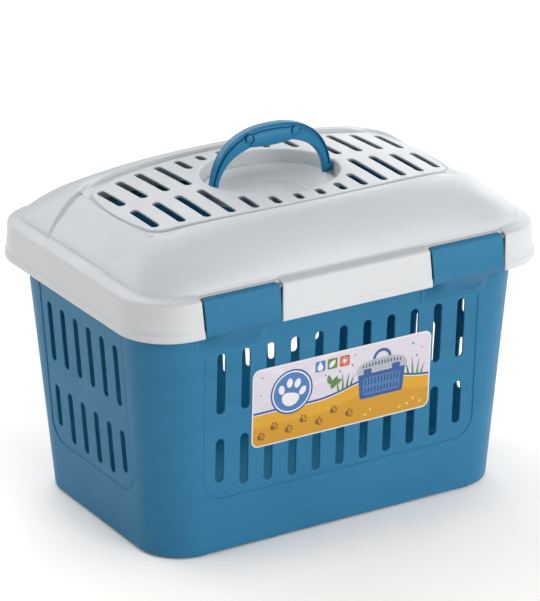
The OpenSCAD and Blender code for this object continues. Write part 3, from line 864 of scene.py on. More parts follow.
    # same plan columns as the crest ring, moved straight inward
    tang = np.roll(top[:, :2], -1, 0) - np.roll(top[:, :2], 1, 0)
    inn = np.column_stack([-tang[:, 1], tang[:, 0]])
    inn /= np.linalg.norm(inn, axis=1, keepdims=True) + 1e-12
    if (inn[0] * top[0, :2]).sum() > 0:
        inn = -inn
    margin = lambda x, y: crown(x, y) - 1.0
    steps = [(0.0, 1.0), (0.35, 0.985), (0.7, 0.93), (1.05, 0.82), (1.4, 0.65), (1.75, 0.45), (2.1, 0.26), (2.5, 0.11), (2.9, 0.03), (3.4, 0.0)]
    er = []
    for d, f in steps:
        xy = top[:, :2] + inn * (d * (0.29 + 0.71 * w[0]))[:, None]
        z = margin(xy[:, 0], xy[:, 1]) * (1 - f) + top[:, 2] * f
        er.append(np.column_stack([xy, z]))
    net.rings(er)
    e_in = er[-1]
    # panel outline step, slots and dish
    pst = [(1.2, -1.85), (1.05, -1.98), (0.85, -2.0), (0.68, -1.86), (0.6, -1.55), (0.55, -1.1), (0.48, -0.68), (0.34, -0.38), (0.12, -0.17), (-0.18, -0.05), (-0.6, 0.0)]
    pr = []
    for gg, dz in pst:
        o = panel_outline(gg)
        pr.append(np.column_stack([o, crown(o[:, 0], o[:, 1]) + dz]))
    net.rings(pr)
    p, t = cdt([e_in[:, :2]], [pr[0][:, :2]])
    z = margin(p[:, 0], p[:, 1])
    z[:len(e_in)] = e_in[:, 2]
    z[len(e_in):len(e_in) + len(pr[0])] = pr[0][:, 2]
    net.tris(net.put(np.column_stack([p, z])), t)
    slots = lid_slots()
    q = 0.5
    def sl(c, y0, y1, off):
        return stadium(c, y0, y1, 7.3, off, 10)
    sup = [sl(c, y0, y1, q + 0.35) for c, y0, y1 in slots]
    lip = oval(63.6, 57.0)
    gx, gy = np.meshgrid(np.arange(-149, 150, 4.4), np.arange(-72, 73, 4.4))
    ex = np.column_stack([gx.ravel(), gy.ravel()])
    ex = ex[inside(panel_outline(-2.6), ex) & ((ex[:, 0] / 65.6) ** 2 + ((ex[:, 1] - DISH_Y) / 59.0) ** 2 > 1)]
    for c, y0, y1 in slots:
        d = np.hypot(ex[:, 0] - c, ex[:, 1] - np.clip(ex[:, 1], y0 + 4, y1 - 4))
        ex = ex[d > 3.65 + 2.6]
    p, t = cdt([pr[-1][:, :2]], [lip] + sup, ex)
    net.tris(net.put(np.column_stack([p, crown(p[:, 0], p[:, 1])])), t)
    # underside of the panel
    u_out = inner[0]
    supi = [sl(c, y0, y1, 1.45) for c, y0, y1 in slots]
    lipu = oval(62.9, 56.3)
    und = lambda x, y: crown(x, y) - 2.9
    exu = ex[(ex[:, 0] / 66.0) ** 2 + ((ex[:, 1] - DISH_Y) / 59.4) ** 2 > 1]
    p, t = cdt([u_out[:, :2]], [lipu] + supi, exu)
    z = und(p[:, 0], p[:, 1])
    z[:len(u_out)] = u_out[:, 2]
    net.tris(net.put(np.column_stack([p, z])), t)
    for c, y0, y1 in slots:
        rings = []
        for o, d in [(q + 0.35, 0.0)] + fillet(q):
            r = sl(c, y0, y1, o)
            rings.append(np.column_stack([r, crown(r[:, 0], r[:, 1]) - d]))
        for o, d in [(0.0, 2.1), (0.25, 1.75), (0.9, 0.7), (1.1, 0.25), (1.25, 0.06), (1.45, 0.0)]:
            r = sl(c, y0, y1, o)
            rings.append(np.column_stack([r, und(r[:, 0], r[:, 1]) + d]))
        net.rings(rings)
    # dish
    def ov(a, b, z, on=False, nn=160):
        o = oval(a, b, nn)
        zz = crown(o[:, 0], o[:, 1]) + z if on else np.full(len(o), float(z))
        return np.column_stack([o, zz])
    dish = [ov(63.6, 57.0, 0.0, True), ov(63.0, 56.4, -0.05, True), ov(62.4, 55.8, -0.25, True), ov(61.95, 55.35, -0.65, True), ov(61.65, 55.05, -1.25, True), ov(61.45, 54.85, -2.2, True),
            ov(61.2, 54.6, 279.0), ov(61.0, 54.4, 276.4), ov(60.9, 54.3, 275.0), ov(60.8, 54.2, 273.4), ov(60.5, 53.9, 272.8), ov(60.0, 53.4, 272.6), ov(59.4, 52.9, 272.75), ov(58.8, 52.4, 273.2),
            ov(58.3, 51.9, 273.45), ov(57.7, 51.4, 273.68), ov(57.0, 50.8, 273.68), ov(56.5, 50.3, 273.35), ov(56.15, 50.0, 272.75), ov(55.7, 49.5, 271.7), ov(55.0, 48.8, 270.5), ov(53.9, 47.8, 269.3), ov(52.2, 46.3, 268.1), ov(49.8, 44.2, 267.0), ov(45.8, 40.4, 265.7), ov(40.8, 35.4, 264.6),
            ov(38.2, 32.9, 264.15), ov(37.5, 32.3, 264.1), ov(37.0, 31.8, 263.75), ov(36.5, 31.4, 263.3), ov(35.6, 30.5, 263.15), ov(32.4, 27.3, 262.9), ov(28.0, 23.0, 262.5), ov(21.4, 17.4, 262.2), ov(14.0, 11.0, 262.05), ov(6.0, 4.7, 262.0)]
    net.rings(dish)
    net.cap(dish[-1])
    du = [ov(62.9, 56.3, -2.9, True), ov(62.9, 56.3, -3.2, True), ov(63.0, 56.4, 281.0), ov(63.2, 56.6, 277.0), ov(63.1, 56.5, 273.4), ov(62.7, 56.1, 272.3), ov(61.7, 55.2, 271.4),
          ov(59.3, 52.9, 270.4), ov(57.2, 51.0, 269.0), ov(54.8, 48.6, 267.2), ov(51.8, 45.8, 265.4), ov(48.4, 42.4, 263.9), ov(44.4, 38.0, 262.5), ov(40.2, 33.8, 261.6), ov(28.0, 23.0, 260.2), ov(15, 12, 259.7)]
    net.rings(du)
    net.cap(du[-1])
    # ledges under the clips' hooks and bosses behind the handle's pins
    adds, cuts = [], []
    for sx in (-1, 1):
        for sy in (-1, 1):
            poly = [(127.0, 239.1), (127.3, 238.8), (136.9, 238.8), (137.2, 239.1), (137.2, 240.35), (136.95, 240.64), (133.95, 241.1), (133.8, 243.7), (133.5, 243.98), (131.6, 244.3), (129.9, 244.75), (127.6, 245.2)]
            adds.append(tool(extrude_x([(sy * y, z) for y, z in poly], sx * 70.2, sx * 149.4)))
        adds.append(tool(disc("boss", (sx * 62.1 + TOP_SHIFT, 0, 279), (sx, 0, 0), [(5.2, 0), (5.2, 4.6), (4.9, 5.0)], 40)))
        cuts.append(tool(disc("bore", (sx * 57 + TOP_SHIFT, 0, 279), (sx, 0, 0), [(3.05, 0), (3.05, 8.9)], 40)))
    net.chunks = [shift_top(c) for c in net.chunks]
    ob = net.build("lid_shell", adds=adds, cuts=cuts, sharp=34)
    ob.data.materials.append(GREY)
    return ob


# ------------------------------------------------------------------ handle
def swell(t, w, h, n):
    """Point of a superellipse in the direction t."""
    c, q = math.cos(t), math.sin(t)
    k = (abs(c) ** n + abs(q) ** n) ** (-1 / n)
    return np.array([w * c * k, h * q * k])


def annulus(p0, sy, prof, n=56):
    """A closed ring-shaped solid about Y through p0; prof is its section as (radius, distance out from p0)."""
    net = Net()
    t = np.arange(n) * 2 * PI / n
    rings = [np.column_stack([p0[0] + r * np.cos(t), np.full(n, p0[1] + sy * h), p0[2] + r * np.sin(t)]) for r, h in prof]
    net.rings(rings + [rings[0]])
    return net


def make_handle():
    net = Net()

    def outp(f):
        a = math.atan2(12.4 / 63.7, (1 - (12.4 / 63.7) ** 2.47) ** (1 / 2.47))
        return swell(a + (PI - 2 * a) * f, 60.3, 63.7, 2.47) + (0, 264.6)

    def inp(f):
        a = math.atan2(1.7 / 37.2, (1 - (1.7 / 37.2) ** 2.27) ** (1 / 2.27))
        return swell(a + (PI - 2 * a) * f, 52.2, 37.2, 2.27) + (0, 275.3)

    st = [((59.3, 273.82), (53.2, 273.82)), ((59.6, 273.95), (52.8, 273.95)), ((59.9, 274.35), (52.45, 274.35)), ((60.0, 275.1), (52.25, 275.1)), ((60.0, 276.0), (52.2, 276.0))]
    mid = [(outp(f), inp(f)) for f in np.linspace(0, 1, 181)]
    right = [(np.array(a, float), np.array(b, float)) for a, b in st]
    left = [(a * (-1, 1), b * (-1, 1)) for a, b in right][::-1]
    line = right + mid + left
    # half section: the outer edge's rounded rim, a deep groove, then the web; from the outer edge, then from the inner
    inner = [(1.7, 3.9), (1.1, 3.84), (0.65, 3.6), (0.3, 3.2), (0.08, 2.7), (0.0, 2.1), (0.0, 0.0)]
    rings = []
    for o, i in line:
        wdt = np.linalg.norm(i - o)
        d = (i - o) / wdt
        low = float(o[1])
        slim = 0.76 + 0.24 * float(ease((low - 281) / 26))
        end = math.sqrt(max(0.0, 1 - ((279 - low) / 5.25) ** 2)) if low < 279 else 1.0
        kw = min(1.0, wdt / 7.5)
        g1 = 3.2 + 1.9 * min(max((wdt - 7.7) / 6, 0.0), 1.0)
        gd = 1.5 + 2.0 * (1 - float(ease((low - 275) / 8)))     # the groove runs out over the hub
        face = [(0.0, 0.0), (0.0, 2.0), (0.02, 3.0), (0.1, 3.5), (0.3, 3.85), (0.6, 4.05), (0.9, 4.08), (1.15, 3.95), (1.3, 3.6), (1.36, max(3.0, gd)), (1.45, max(2.2, gd)), (1.65, max(1.7, gd)), (2.0, gd),
                (g1 - 0.7, gd), (g1 - 0.35, max(1.7, gd)), (g1 - 0.15, max(2.2, gd)), (g1 - 0.05, max(3.0, gd)), (g1 + 0.1, 3.6), (g1 + 0.35, 3.98), (g1 + 0.75, 4.14), (g1 + 1.25, 4.05), (g1 + 1.7, 3.9)]
        face = [(wo * kw, dep) for wo, dep in face]
        lo, hi = face[-1][0], wdt - inner[0][0] * kw
        face += [(lo + (hi - lo) * f, 3.9) for f in np.linspace(0, 1, 9)[1:-1]]
        face += [(wdt - wi * kw, dep) for wi, dep in inner]
        front = [(o + d * wo, -dep * slim * end) for wo, dep in face]
        ring = [(p[0], y, p[1]) for p, y in front]
        ring += [(p[0], -y, p[1]) for p, y in front[::-1][1:-1]]
        rings.append(np.array(ring))
    net.rings(rings)
    for r in (rings[0], rings[-1]):
        ids = net.put(r)
        n, m = len(r), len(face)
        for j in range(m - 1):
            a, b = j, j + 1
            c, e = (n - b) % n, (n - a) % n
            f = [a, b, c, e]
            f = [k for q, k in enumerate(f) if k not in f[:q]]
            if len(f) > 2:
                net.faces.append(tuple(int(ids[k]) for k in f))
    adds, cuts = [], []
    for sy in (-1, 1):
        # grip pad: a bulging cushion that hangs a little below the arch, front and back
        pad = Net()
        lv = [(0.0, 0.5), (0.0, 2.6), (0.05, 3.2), (0.3, 3.75), (0.8, 4.2), (1.5, 4.58), (2.5, 4.92), (3.7, 5.15), (4.4, 5.23), (5.1, 5.27)]
        rs = []
        for off, dep in lv:
            xs = np.linspace(-21.4, 21.4, 41)
            up = [(x, 322.9 - off - 0.9 * (x / 21) ** 2) for x in xs]
            dn = [(x, 309.4 + off * 1.05 + 1.5 * (x / 21) ** 2) for x in xs[::-1]]
            rs.append(np.array([(x, sy * dep, z) for x, z in up + dn]))
        pad.rings(rs)
        pad.cap(rs[0])
        pad.cap(rs[-1])
        adds.append(tool(pad))
        for sx in (-1, 1):
            adds.append(tool(disc("b", (sx * 22.7, sy * 2.0, 319.1), (0, sy, 0), [(3.3, 0), (3.3, 2.75), (3.22, 3.0), (3.0, 3.18), (2.6, 3.28), (1.8, 3.34), (0.6, 3.37)], 56)))
            cuts.append(tool(annulus((sx * 22.7, sy * 3.1, 319.1), sy, [(3.34, 5.0), (3.34, 0.45), (3.5, 0.12), (3.9, 0.0), (4.3, 0.12), (4.55, 0.45), (4.75, 1.0), (4.95, 1.6), (5.0, 5.0)])))
    for sx in (-1, 1):
        hub = [(4.6, 0.0), (5.0, 0.3), (5.2, 0.8), (5.2, 6.3), (5.0, 6.9), (4.6, 7.2)]
        adds.append(tool(disc("hub", (sx * 53.0, 0, 279), (sx, 0, 0), [(0.78 * r, h) for r, h in hub], 64)))
        adds.append(tool(disc("pin", (sx * 58, 0, 279), (sx, 0, 0), [(3.0, 0.0), (3.0, 6.7), (2.5, 7.2)], 40)))
    ob = net.build("handle_arch", adds=adds, cuts=cuts, sharp=30)
    ob.data.transform(Matrix.Translation((TOP_SHIFT * MM, 0, 0)))
    ob.data.materials.append(BLUE_GRIP)
    return ob


# ------------------------------------------------------------------ clips
C0, C1 = 73.2, 146.4


def clip_profile():
    """Outer face of a clip from the wall up and over its hook, then the inner face back down: (y, z), front positive outward."""
    out = [(121.2, 185.6), (121.6, 187.0), (122.1, 188.3), (122.8, 189.7), (123.7, 191.1), (124.8, 192.7)]
    out += [(124.8 + 14.8 * f, 192.7 + 18.5 * f) for f in np.linspace(0, 1, 17)[1:]]
    out += [(140.6, 212.7), (141.4, 214.3), (142.0, 215.9), (142.3, 217.4), (142.3, 219.6),
           (142.0, 223.4), (141.7, 227.2), (141.4, 231.0), (141.1, 234.6), (140.85, 237.8), (140.68, 239.6), (140.5, 240.7), (140.2, 241.6), (139.75, 242.3), (139.15, 242.8), (138.4, 243.15), (137.2, 243.45),
           (135.9, 243.72), (135.0, 243.86), (134.55, 243.86), (134.28, 243.7), (134.2, 243.4)]
    inn = [(134.22, 242.7), (134.35, 242.05), (134.65, 241.72), (135.2, 241.55), (135.9, 241.42), (136.6, 241.27), (137.5, 240.85), (138.05, 240.1), (138.3, 239.2), (138.45, 237.0), (139.0, 230.5), (139.6, 223.5), (140.0, 219.0), (139.95, 217.2),
           (139.5, 215.4), (138.8, 213.9)]
    inn += [(137.8 - 11.8 * f, 212.6 - 14.8 * f) for f in np.linspace(0, 1, 15)]
    inn += [(124.2, 195.6), (123.2, 194.2), (122.4, 192.6), (121.7, 190.8), (121.2, 189.0)]
    return np.array(out), np.array(inn)


def make_clip(name, sx, sy):
    out, inn = clip_profile()
    prof = np.vstack([out, inn])
    nseg = len(prof)
    tan = np.roll(prof, -1, 0) - np.roll(prof, 1, 0)
    nrm = np.column_stack([tan[:, 1], -tan[:, 0]])        # outward for a counter-clockwise outline
    area = 0.5 * np.sum(prof[:, 0] * np.roll(prof[:, 1], -1) - np.roll(prof[:, 0], -1) * prof[:, 1])
    if area < 0:
        nrm = -nrm
    nrm /= np.linalg.norm(nrm, axis=1, keepdims=True)
    q = 0.85
    ed = np.array([0.0, 0.07, 0.25, 0.55, 0.85, 1.3])
    xs = np.concatenate([ed, np.linspace(2.2, C1 - C0 - 2.2, 84), (C1 - C0) - ed[::-1]])
    W = C1 - C0
    # arc length up the outer face, to round the upper corners of the tongue
    s_out = np.concatenate([[0], np.cumsum(np.linalg.norm(np.diff(out, axis=0), axis=1))])
    s_all = np.concatenate([s_out, np.interp(inn[:, 1], [190, 200, 217, 239, 241], [4, 14, 38, 62, 66])])
    top = s_out[-1]
    for k in range(len(inn)):
        if inn[k, 1] > 240.9:
            s_all[len(out) + k] = top - (inn[k, 0] - 134.2)
    rad = 5.0
    rings = []
    for x in xs:
        e = min(x, W - x)
        dd = q * (1 - math.sqrt(max(0.0, 1 - ((q - e) / q) ** 2))) if e < q else 0.0
        dd = min(dd, 0.7)
        thin = np.ones(nseg)
        thin[:3] = (0.0, 0.25, 0.7)
        thin[-3:] = (0.7, 0.25, 0.0)
        thin = np.where((prof[:, 0] < 134.9) & (prof[:, 1] > 240), 0.3, thin)
        p = prof - nrm * (dd * thin)[:, None]
        is_out = np.arange(nseg) < len(out)
        # faint moulding line at the height of the lid's bead
        ln = np.exp(-((prof[:, 1] - 217.4) / 0.5) ** 2) * is_out * 0.10 * ease((e - 1.5) / 2)
        p = p - nrm * ln[:, None]
        xx = np.full(nseg, x)
        # pull the sides in where the tongue's corners are round
        over = np.clip(s_all - (top - rad), 0, rad)
        lim = rad - np.sqrt(np.clip(rad ** 2 - over ** 2, 0, None))
        xx = np.where(x < W / 2, np.maximum(xx, lim), np.minimum(xx, W - lim))
        if e < 12:
            xx = lim * (1 - e / 12) + x if x < W / 2 else x - lim * (1 - e / 12)
        # the root's sides run out into the wall
        yw = thy(p[:, 1]) - 0.35
        k = 1 - (1 - ease(e / 18)) * (1 - ease((p[:, 1] - 201) / 10))
        y = yw + (p[:, 0] - yw) * np.maximum(k, 0.1)
        px = sx * (C0 + xx)
        # the edge on the left of the picture leans with the lid's notch
        w = 1 - x / W if sx > 0 else x / W
        px = px + w * (0.9 + 1.8 * np.clip((245 - p[:, 1]) / 34, 0, 1))
        rings.append(np.column_stack([px, sy * y, p[:, 1]]))
    net = Net()
    net.rings(rings)
    for r in (rings[0], rings[-1]):
        ids = net.put(r)
        pts, t = cdt([r[:, 1:]])
        net.tris(ids, t)
    # shallow oval for the thumb, cut square to the slope
    t, n = np.array([0.6247, 0.7809]), np.array([0.7809, -0.6247])
    o = np.array([124.8, 192.7]) + t * 14.0
    cx = sx * (C0 + W / 2) + 7.4
    scoop = []
    for q, h in [(0.35, 3.0), (0.35, 0.4), (0.1, 0.0), (0.0, -0.2), (0.0, -0.5), (-0.08, -0.68), (-0.3, -0.78), (-0.8, -0.8), (-2.0, -0.74), (-4.0, -0.8), (-7.0, -0.92), (-10.0, -1.0)]:
        a_ = np.arange(96) * 2 * PI / 96
        along = (12.4 + q) * np.sin(a_)
        yz = o[None, :] + along[:, None] * t[None, :] + (h + 0.012 * along)[:, None] * n[None, :]
        scoop.append(np.column_stack([cx + (21.6 + q) * np.cos(a_), sy * yz[:, 0], yz[:, 1]]))
    cut = Net()
    cut.rings(scoop)
    for r in (scoop[0], scoop[-1]):
        ids = cut.put(r)
        c = cut.put([r.mean(0)])[0]
        cut.tris(np.append(ids, c), [(i, (i + 1) % 96, 96) for i in range(96)])
    ob = net.build(name, sharp=34, cuts=[tool(cut)])
    ob.data.materials.append(BLUE)
    return ob


# ------------------------------------------------------------------ label
def ell(cx, cy, rx, ry, rot=0.0, n=40):
    t = np.arange(n) * 2 * PI / n
    c, q = math.cos(math.radians(rot)), math.sin(math.radians(rot))
    x, y = rx * np.cos(t), ry * np.sin(t)
    return np.column_stack([cx + x * c - y * q, cy + x * q + y * c])


def turned(p, cx, cy, size, rot):
    c, q = math.cos(math.radians(rot)), math.sin(math.radians(rot))
    p = np.asarray(p, float) * size
    return np.column_stack([cx + p[:, 0] * c - p[:, 1] * q, cy + p[:, 0] * q + p[:, 1] * c])


def soft_box(cx, cy, a, b, r, n=7):
    out = []
    for x, y, t0 in ((a - r, b - r, 0), (r - a, b - r, 90), (r - a, r - b, 180), (a - r, r - b, 270)):
        out += [(cx + x + r * math.cos(math.radians(t0 + t)), cy + y + r * math.sin(math.radians(t0 + t))) for t in np.linspace(0, 90, n)]
    return np.array(out)


def paw(cx, cy, size, rot):
    """A paw print: heel pad and four toes."""
    t = np.arange(48) * 2 * PI / 48
    heel = np.column_stack([0.50 * np.cos(t) * (1 - 0.12 * np.sin(t)), -0.30 + 0.36 * np.sin(t) + 0.07 * np.cos(2 * t)])
    out = [turned(heel, cx, cy, size, rot)]
    for x, y, a in ((-0.62, 0.12, 22), (-0.23, 0.50, 8), (0.23, 0.50, -8), (0.62, 0.12, -22)):
        out.append(turned(ell(x, y, 0.17, 0.25, a, 28), cx, cy, size, rot))
    return out


def leaf(cx, cy, size, rot):
    """One pointed leaf, and the rib along it."""
    t = np.linspace(0, 1, 18)
    w = 0.30 * np.sin(PI * t) ** 0.8 * (1 - 0.35 * t)
    blade = np.vstack([np.column_stack([t, w]), np.column_stack([t, -w])[1:-1][::-1]])
    rib = np.array([(0.10, 0.018), (0.5, 0.014), (0.86, 0.0), (0.5, -0.014), (0.10, -0.018)])
    return turned(blade, cx, cy, size, rot), turned(rib, cx, cy, size, rot)


def drop(cx, cy, size):
    p = [(0.5 * math.cos(a), -0.2 + 0.5 * math.sin(a)) for a in np.linspace(0.2 * PI, -1.2 * PI, 26)] + [(0.0, 0.85)]
    return turned(p, cx, cy, size, 0)


def hill(u, lift):
    """Edge of the warm field at the label's foot."""
    return lift - 5.0 + 4.6 * np.cos((u - 34) / 88.25 * PI) - 1.8 * np.cos((u + 12) / 44.0 * PI)


def artwork():
    """The label's shapes in painting order: (ink, outline) in the label's own plane, mm."""
    E = 1.3
    fw, fh = 88.25 - E, 36.0 - E
    frame = soft_box(0, 0, fw, fh, 5.8, 9)
    us = np.linspace(-92, 92, 93)

    def under(lift):
        return np.vstack([np.column_stack([us, hill(us, lift)]), [(92, -40), (-92, -40)]])

    out = []
    # pale rays behind the badge, then the stripes and the warm field
    for k in range(0, 24, 2):
        a0, a1 = math.radians(k * 15 + 4), math.radians(k * 15 + 11)
        out.append(("ray", np.array([(-50 + 17 * math.cos(a0), 9 + 17 * math.sin(a0)), (-50 + 60 * math.cos(a0), 9 + 60 * math.sin(a0)), (-50 + 60 * math.cos(a1), 9 + 60 * math.sin(a1)), (-50 + 17 * math.cos(a1), 9 + 17 * math.sin(a1))])))
    out.append(("blue", under(4.6)))
    out.append(("white", under(2.6)))
    out.append(("amber", under(1.8)))
    out.append(("amber2", under(-9.5)))
    # grass and leaves standing on the field
    for x, h, lean_ in ((-4, 13, -14), (0.5, 17, -3), (4.5, 14, 9), (8.5, 10, 22), (66, 12, -20), (70.5, 17, -6), (75, 15, 8), (79, 11, 24)):
        y0 = hill(x, 4.0)
        t = np.linspace(0, 1, 12)
        lx = x + h * np.sin(math.radians(lean_)) * t ** 1.6
        w = 1.15 * (1 - t) ** 0.8
        out.append(("green" if int(h) % 2 else "green2", np.vstack([np.column_stack([lx - w, y0 + h * t]), np.column_stack([lx + w, y0 + h * t])[:-1][::-1]])))
    # round badge with a paw print
    out.append(("blue", ell(-50, 9, 20.5, 20.5, 0, 96)))
    out.append(("white", ell(-50, 9, 18.9, 18.9, 0, 96)))
    out.append(("blue2", ell(-50, 9, 17.6, 17.6, 0, 96)))
    for p in paw(-50, 8.2, 17.0, -12):
        out.append(("white", p))
    # the keeper as a pictogram: tub, lid, dish and handle
    x0, y0 = 39.0, 5.5
    arch = np.array([(x0 - 9.2 * math.cos(a), y0 + 15.0 + 9.0 * math.sin(a)) for a in np.linspace(0, PI, 30)] + [(x0 - 6.4 * math.cos(a), y0 + 15.0 + 6.2 * math.sin(a)) for a in np.linspace(PI, 0, 30)])
    out.append(("blue", arch))
    top = np.array([(x0 - 24 * math.cos(a), y0 + 6.2 + 9.6 * math.sin(a) ** 0.55) for a in np.linspace(0, PI, 44)])
    out.append(("grey", top))
    out.append(("grey", soft_box(x0, y0 + 6.0, 25.4, 2.3, 1.2)))
    for k in range(-6, 7):
        hgt = 3.0 - 0.035 * k * k
        out.append(("slate", soft_box(x0 + k * 3.1, y0 + 11.2 - 0.03 * k * k, 0.62, hgt / 2 + 0.4, 0.6, 4)))
    tubp = np.array([(x0 - 23.6, y0 + 3.2), (x0 + 23.6, y0 + 3.2), (x0 + 21.4, y0 - 18.6), (x0 + 20.2, y0 - 19.8), (x0 - 20.2, y0 - 19.8), (x0 - 21.4, y0 - 18.6)])
    out.append(("blue", tubp))
    out.append(("blue2", soft_box(x0, y0 - 8.6, 18.4, 8.2, 2.0)))
    for k in range(-5, 6):
        out.append(("slate", soft_box(x0 + k * 3.2, y0 - 4.6, 0.66, 3.2, 0.64, 4)))
        out.append(("slate", soft_box(x0 + k * 3.2, y0 - 12.6, 0.66, 2.6, 0.64, 4)))
    for k in (-1, 1):
        out.append(("blue", soft_box(x0 + k * 14.2, y0 + 3.4, 4.0, 4.2, 1.2)))
    # paw prints walking over the field, seeds and dots
    for x, y, a in ((-79, -26.5, -70), (-66.5, -19.5, -52), (-52, -25.5, -78), (-38, -19.0, -60), (-22.5, -25.0, -82), (-8, -17.5, -64), (7.5, -24.0, -80)):
        for p in paw(x, y, 5.2, a):
            out.append(("brown", p))
    for x, y, a in ((24, -29.5, 20), (29, -25.5, 70), (66, -28.5, -30), (72, -24.5, 40), (79, -29.0, 80), (58.5, -30.0, 10)):
        out.append(("cream", ell(x, y, 1.5, 0.8, a, 20)))
    for x, y, q in ((9.5, 20, 1.0), (11.5, 29, 0.8), (-3, 17.0, 1.0), (-17, 16.5, 0.8), (70, 27, 1.1), (79, 22, 0.8), (74, 15, 1.0), (-79, 28, 0.9), (-74, -7, 0.8), (-80, 12, 0.7)):
        out.append(("coral" if int(x) % 2 else "blue2", ell(x, y, q, q, 0, 20)))
    # sprig of leaves between badge and pictogram
    for x, y, z, a in ((-11, 2.5, 12.5, 62), (-9.5, 6.0, 9.5, 22), (-12.0, 7.0, 9.5, 104)):
        blade, rib = leaf(x, y, z, a)
        out.append(("green", blade))
        out.append(("green2", rib))
    # three small picture tiles: water, leaf, sun
    for x, ink in ((-22.5, "blue2"), (-10.5, "green"), (1.5, "coral")):
        out.append((ink, soft_box(x, 26.0, 4.9, 4.9, 1.5)))
    out.append(("white", drop(-22.5, 25.8, 5.6)))
    blade, rib = leaf(-13.6, 22.9, 8.6, 45)
    out.append(("white", blade))
    out.append(("green", rib))
    out.append(("white", ell(1.5, 26.0, 1.7, 1.7, 0, 28)))
    for k in range(8):
        out.append(("white", turned([(0.50, -0.07), (0.76, -0.07), (0.76, 0.07), (0.50, 0.07)], 1.5, 26.0, 4.7, 45 * k)))
    return frame, out


INKS = {"edge": ((196, 194, 197), 0.0), "lav": ((184, 180, 190), 0.02), "ray": ((190, 186, 196), 0.03), "white": ((200, 198, 202), 0.0), "amber": ((188, 141, 32), 0.02), "amber2": ((179, 130, 26), 0.02),
        "blue": ((38, 74, 128), 0.05), "blue2": ((60, 104, 156), 0.05), "slate": ((34, 52, 82), 0.05), "green": ((76, 118, 54), 0.08), "green2": ((52, 92, 44), 0.08), "grey": ((150, 154, 162), 0.04),
        "brown": ((112, 74, 34), 0.06), "coral": ((178, 72, 58), 0.05), "cream": ((206, 186, 140), 0.04)}


def printed(name, rgb, vary):
    """Coated card: a flat ink with faint mottle, a fine paper tooth, a little unevenness in the varnish, and painted
    shade that darkens it towards its foot.
    """
    m, nt, bs = nodes_of(name)
    tc = nt.nodes.new("ShaderNodeTexCoord")
    obj = tc.outputs["Object"]
    base = srgb(*rgb)
    dark = tuple(c * (0.93 - vary) for c in base)
    light = tuple(min(1.0, c * 1.03) for c in base)
    col = mixc(nt, ramp(nt, noise(nt, obj, 34.0, 3.0, 0.6), 0.3, 0.7, 0.6, 1.0), dark, base)
    col = mixc(nt, ramp(nt, noise(nt, obj, 900.0, 2.0, 0.5), 0.3, 0.75, 0.0, 0.35), col, light)
    # painted shade: the inks are darkened towards the card's foot and lifted slightly at its top, by height
    sep = nt.nodes.new("ShaderNodeSeparateXYZ")
    nt.links.new(obj, sep.inputs[0])
    painted_shade_by_height = ramp(nt, sep.outputs["Z"], 0.0905, 0.1625, 0.93, 1.02)
    hsv = nt.nodes.new("ShaderNodeHueSaturation")
    nt.links.new(painted_shade_by_height, hsv.inputs["Value"])
    nt.links.new(col, hsv.inputs["Color"])
    geo = nt.nodes.new("ShaderNodeNewGeometry")
    wear = ramp(nt, geo.outputs["Pointiness"], 0.53, 0.62, 0.0, 0.5)
    top = mixc(nt, wear, hsv.outputs["Color"], srgb(205, 203, 200)) if name == "ink_edge" else hsv.outputs["Color"]
    nt.links.new(top, bs.inputs["Base Color"])
    nt.links.new(ramp(nt, noise(nt, obj, 60.0, 3.0, 0.6), 0.3, 0.7, 0.28, 0.42), bs.inputs["Roughness"])
    bs.inputs["Specular IOR Level"].default_value = 0.4
    bump = nt.nodes.new("ShaderNodeBump")
    bump.inputs["Strength"].default_value = 0.06
    bump.inputs["Distance"].default_value = 0.0002
    nt.links.new(noise(nt, obj, 1400.0, 2.0, 0.5), bump.inputs["Height"])
    nt.links.new(bump.outputs["Normal"], bs.inputs["Normal"])
    return m


